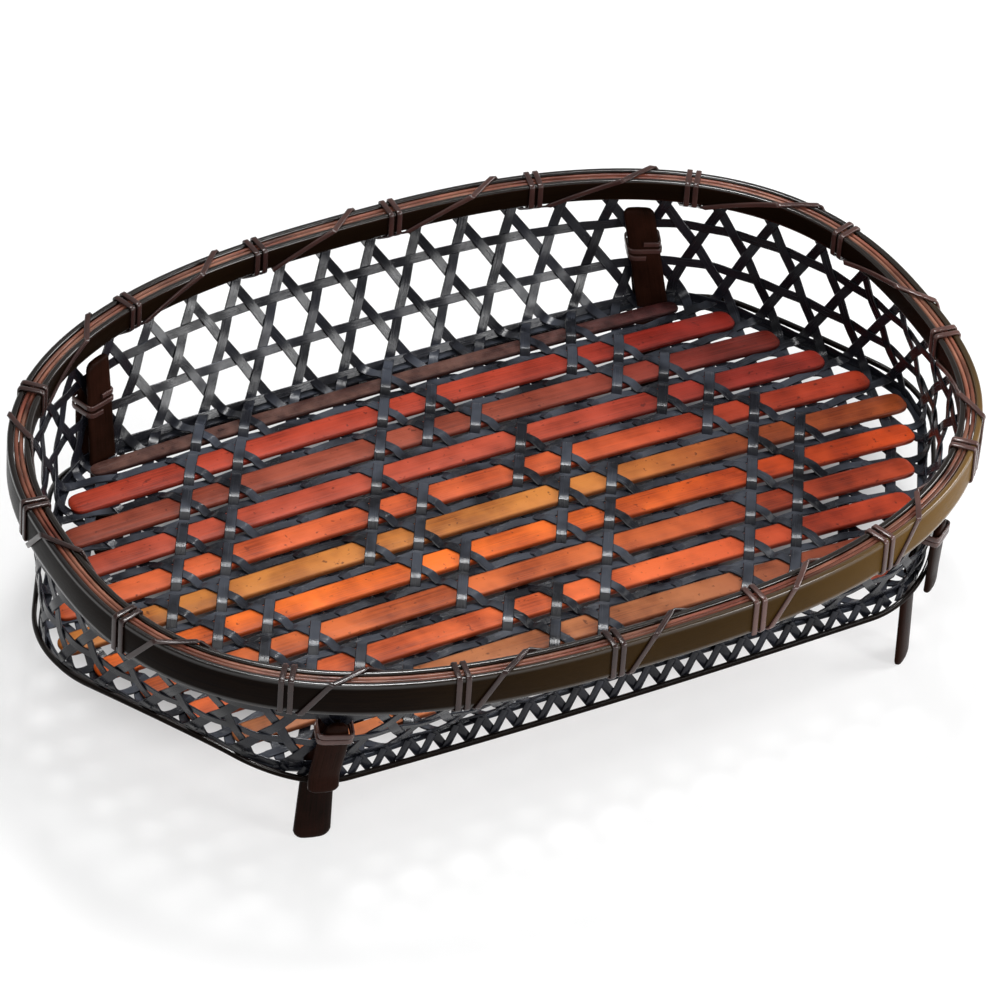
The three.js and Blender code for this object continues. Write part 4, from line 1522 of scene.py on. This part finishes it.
    def binding(self) -> Path:
        """Follows the strand that ties the leg's two strips together.

        Returns:
            The path.
        """
        half = self.width / 2 + self.strand_gap
        start = self.binding_start
        inner = self.outer_offset - self.thickness - self.strand_gap
        points, facing = [], []
        for i in range(self.turns * self.turn_spots + 1):
            turn = i / self.turn_spots
            z = start + self.rise * turn
            outer = self.cleat_offset(z) + self.cleat_thickness + self.strand_gap
            angle = -math.pi / 2 + 2 * math.pi * turn
            a, o = (math.copysign(abs(part) ** self.strand_power, part)
                    for part in (math.cos(angle), math.sin(angle)))
            points.append(self.point(z, a * half, (outer + inner) / 2 + o * (outer - inner) / 2))
            _, outward, sideways = self.frame_at(z)
            way = sideways * a ** self.facing_power + outward * o ** self.facing_power
            facing.append(np.append(way, 0.0))
        return Path(np.array(points), np.array(facing), np.ones(len(points)))

    def build(self, material: bpy.types.Material, lash: bpy.types.Material) -> None:
        """Makes the leg's pieces.

        Args:
            material: Finish of its strips.
            lash: Finish of its binding.
        """
        top = FORM.clamp_height - self.top_gap
        flare = self.foot_width / self.width
        shaft = FOOT_HEIGHT - self.foot_height
        levels = [(z - FOOT_HEIGHT, flare * wide, deep) for z, wide, deep in self.foot]
        levels += [(z, 1 + (flare - 1) * cut(-z / shaft), 1.0)
                   for z in np.linspace(-shaft, top - self.head_height, self.shaft_spots)]
        levels += [(top + z, wide, deep) for z, wide, deep in self.head]
        inner = self.board(f"leg_strip_{self.corner}", levels,
                           lambda z: self.outer_offset - self.thickness,
                           self.thickness, self.width, material)
        hold(inner, "leg", f"leg_{self.corner}_inner")
        low, high, taper = self.cleat_bottom, self.cleat_top, self.binding_start
        tip = self.tip_width / self.cleat_width
        levels = [(low + z, wide, deep) for z, wide, deep in self.cleat_foot]
        levels += [(z, 1 - (1 - tip) * cut((z - taper) / (high - taper)), 1.0)
                   for z in np.linspace(low + self.cleat_margin, high - self.cleat_margin,
                                        self.cleat_spots)]
        levels += [(high + z, wide * tip, deep) for z, wide, deep in self.cleat_head]
        outer = self.board(f"leg_cleat_{self.corner}", levels, self.cleat_offset,
                           self.cleat_thickness, self.cleat_width, material)
        hold(outer, "leg", f"leg_{self.corner}_outer")
        tie = self.strips.make(f"leg_tie_{self.corner}", [self.binding()], self.strand, lash)
        hold(tie, "lashing", f"leg_{self.corner}_binding")


@dataclass(frozen=True)
class Lamp:
    """A square soft light that points at the basket, in metres and watts."""

    name: str
    place: Place
    size: float
    power: float
    target: Place = (0.0, 0.0, 0.06)

    def build(self) -> None:
        """Hangs the light."""
        data = bpy.data.lights.new(self.name, "AREA")
        data.size = self.size
        data.energy = self.power
        lamp = placed(self.name, data)
        lamp.location = self.place
        way = Vector(self.target) - Vector(self.place)
        lamp.rotation_euler = way.to_track_quat("-Z", "Y").to_euler()


@dataclass(frozen=True)
class Studio:
    """The plain floor, the lights and the camera."""

    turn: float = 29.857
    elevation: float = 40.085
    roll: float = -4.012
    distance: float = 146.968
    centre: tuple[float, float] = (0.163, 0.467)
    lens: float = 286.7
    sensor: float = 36.0
    farthest: float = 20.0
    ambient: float = 0.30
    zenith: float = 0.25
    horizon: tuple[float, float] = (0.12, 0.5)
    floor_half: float = 4.0
    floor_glow: float = 0.64
    floor_plain: Color = (0.8, 0.8, 0.8)
    floor_shown: Color = (0.34, 0.34, 0.34)
    # A patch painted dark on the floor under the basket stands for its shadow.
    floor_painted_shadow: Color = (0.13, 0.13, 0.136)
    painted_shadow_centre: tuple[float, float] = (0.022, 0.039)
    painted_shadow_half: tuple[float, float] = (0.186, 0.099)
    painted_shadow_power: float = 2.3
    painted_shadow_edge: tuple[float, float] = (0.62, 1.14)
    lamps: tuple[Lamp, ...] = (
        Lamp("light_right", (1.35, -0.20, 0.86), 0.55, 14.0),
        Lamp("light_back", (0.24, 0.46, 1.25), 0.26, 12.0),
        Lamp("light_front_left", (-0.50, -0.60, 0.75), 0.45, 3.0),
        Lamp("light_front_right", (1.00, -1.48, 0.66), 0.50, 19.0),
    )

    def camera(self) -> None:
        """Sets the camera at the photograph's viewing angle."""
        th, el, roll = (math.radians(v) for v in (self.turn, self.elevation, self.roll))
        right = np.array([math.cos(th), -math.sin(th), 0.0])
        ahead = np.array([math.sin(th) * math.cos(el), math.cos(th) * math.cos(el),
                          -math.sin(el)])
        axes = np.array([right, np.cross(right, ahead), -ahead])
        c, s = math.cos(roll), math.sin(roll)
        axes = np.array([[c, -s, 0], [s, c, 0], [0, 0, 1]]) @ axes
        place = np.array([*self.centre, self.distance]) @ axes * PITCH + (0, 0, FOOT_HEIGHT)
        data = bpy.data.cameras.new("camera")
        data.lens = self.lens
        data.sensor_width = self.sensor
        data.clip_end = self.farthest
        camera = placed("camera", data)
        turned = Matrix(axes.T.tolist()).to_4x4()
        camera.matrix_world = Matrix.Translation(Vector(place * METRES)) @ turned
        bpy.context.scene.camera = camera

    def floor(self) -> None:
        """Lays the pale floor, which keeps the basket's shadow and has a shadow painted dark under
        the basket.
        """
        side = self.floor_half
        mesh = bpy.data.meshes.new("studio_floor")
        mesh.from_pydata([(-side, -side, 0), (side, -side, 0), (side, side, 0), (-side, side, 0)],
                         [], [(0, 1, 2, 3)])
        material = bpy.data.materials.new("floor")
        tree = emptied(material)
        plain, shown, shadow_patch = (
            tree.add("ShaderNodeBsdfDiffuse", {"Color": (*color, 1)}).outputs[0]
            for color in (self.floor_plain, self.floor_shown, self.floor_painted_shadow))
        glow = tree.add("ShaderNodeEmission",
                        {"Color": (1, 1, 1, 1), "Strength": self.floor_glow}).outputs[0]
        x, y = self.painted_shadow_centre
        half_x, half_y = self.painted_shadow_half
        place = tree.add("ShaderNodeTexCoord").outputs["Object"]
        moved = tree.add("ShaderNodeVectorMath", {0: place, 1: (-x, -y, 0)},
                         operation="ADD").outputs[0]
        scaled = tree.add("ShaderNodeVectorMath", {0: moved, 1: (1 / half_x, 1 / half_y, 0)},
                          operation="MULTIPLY").outputs[0]
        axes = tree.add("ShaderNodeSeparateXYZ", {0: scaled}).outputs
        powers = [tree.math("POWER", tree.math("ABSOLUTE", axes[key]), self.painted_shadow_power)
                  for key in "XY"]
        far = tree.math("POWER", tree.math("ADD", *powers), 1 / self.painted_shadow_power)
        # Painted shadow: the floor is dark inside a rounded patch under the basket.
        beyond_shadow = tree.ramp(far, self.painted_shadow_edge, soft=True)
        lit_open = tree.add("ShaderNodeAddShader", {0: shown, 1: glow}).outputs[0]
        lit = tree.add("ShaderNodeMixShader", {0: beyond_shadow, 1: shadow_patch, 2: lit_open}).outputs[0]
        mix = tree.add("ShaderNodeMixShader", {0: tree.seen(), 1: plain, 2: lit})
        tree.add("ShaderNodeOutputMaterial", {"Surface": mix.outputs[0]})
        mesh.materials.append(material)
        placed("studio_floor", mesh)

    def world(self) -> None:
        """Sets a white surround that lights the basket softly."""
        world = bpy.data.worlds.new("studio")
        tree = emptied(world)
        place = tree.add("ShaderNodeTexCoord").outputs["Generated"]
        height = tree.add("ShaderNodeSeparateXYZ", {0: place}).outputs["Z"]
        white = tree.ramp(height, self.horizon, self.zenith, start=1.0, soft=True)
        soft, shown = (
            tree.add("ShaderNodeBackground",
                     {"Color": (1, 1, 1, 1), "Strength": strength}).outputs[0]
            for strength in (self.ambient, white))
        mix = tree.add("ShaderNodeMixShader", {0: tree.seen(), 1: soft, 2: shown})
        tree.add("ShaderNodeOutputWorld", {"Surface": mix.outputs[0]})
        bpy.context.scene.world = world

    def build(self) -> None:
        """Sets up the studio."""
        self.camera()
        self.floor()
        self.world()
        for lamp in self.lamps:
            lamp.build()
        bpy.context.scene.view_settings.view_transform = "Standard"


# The weave's last colour is a painted sheen on its faces that look up.
WEAVE_FINISH = Fibre("weave", (0.004, 0.004, 0.006), (0.002, 0.002, 0.003), (0.022, 0.024, 0.034),
                     roughness=(0.16, 0.30), coat=0.0, level=0.24, tone_gain=0.08,
                     painted_light=(0.044, 0.049, 0.062))
# The hoop's light colour is painted light, laid on the outer hoop towards the front right through
# its tone.
HOOP_FINISH = Fibre("hoop", (0.005, 0.0025, 0.0015), (0.002, 0.001, 0.001), (0.15, 0.080, 0.018),
                    fibres=14.0, stretch=9.0, blotch=0.02, roughness=(0.26, 0.40), level=0.025,
                    tone_gain=0.80, polish=1.0, coat_roughness=0.20)
FILLER_FINISH = Fibre("filler", (0.17, 0.042, 0.024), (0.015, 0.005, 0.004), (0.42, 0.20, 0.13),
                      fibres=3.0, stretch=30.0, roughness=(0.20, 0.34), coat=0.0, level=0.25)
# The lashing's light colour is painted light, laid on by each quarter's tone, most at the front
# right.
LASH_FINISH = Fibre("lashing", (0.015, 0.008, 0.008), (0.005, 0.003, 0.003),
                    (0.15, 0.072, 0.060), fibres=3.0, stretch=60.0, blotch=0.25,
                    roughness=(0.13, 0.24), coat=0.0, level=0.40, tone_gain=0.40)
LEG_FINISH = Fibre("leg", (0.009, 0.003, 0.002), (0.004, 0.002, 0.001), (0.045, 0.015, 0.009),
                   fibres=9.0, stretch=40.0, roughness=(0.24, 0.40), coat=0.0, level=0.02,
                   specks=0.4)


def main() -> None:
    """Builds the basket's looks and the studio."""
    logging.basicConfig(level=logging.INFO, format="%(message)s")
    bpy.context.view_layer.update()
    Studio().build()
    strips = BentStrip()
    hoop = HOOP_FINISH.build()
    lash = LASH_FINISH.build()
    leg = LEG_FINISH.build()
    weave = WEAVE_FINISH.build()
    Weave(strips).build(weave)
    Slats(strips).build()
    Rim(strips).build(hoop, FILLER_FINISH.build(), lash)
    BaseHoop(strips).build(hoop, weave)
    for corner, cell in zip(("back_right", "back_left", "front_left"), FORM.leg_cells):
        Leg(strips, corner, cell).build(leg, lash)
    Leg(strips, "front_right", FORM.leg_cells[3], lean=-0.05, slant=0.125).build(leg, lash)


if __name__ == "__main__":
    main()
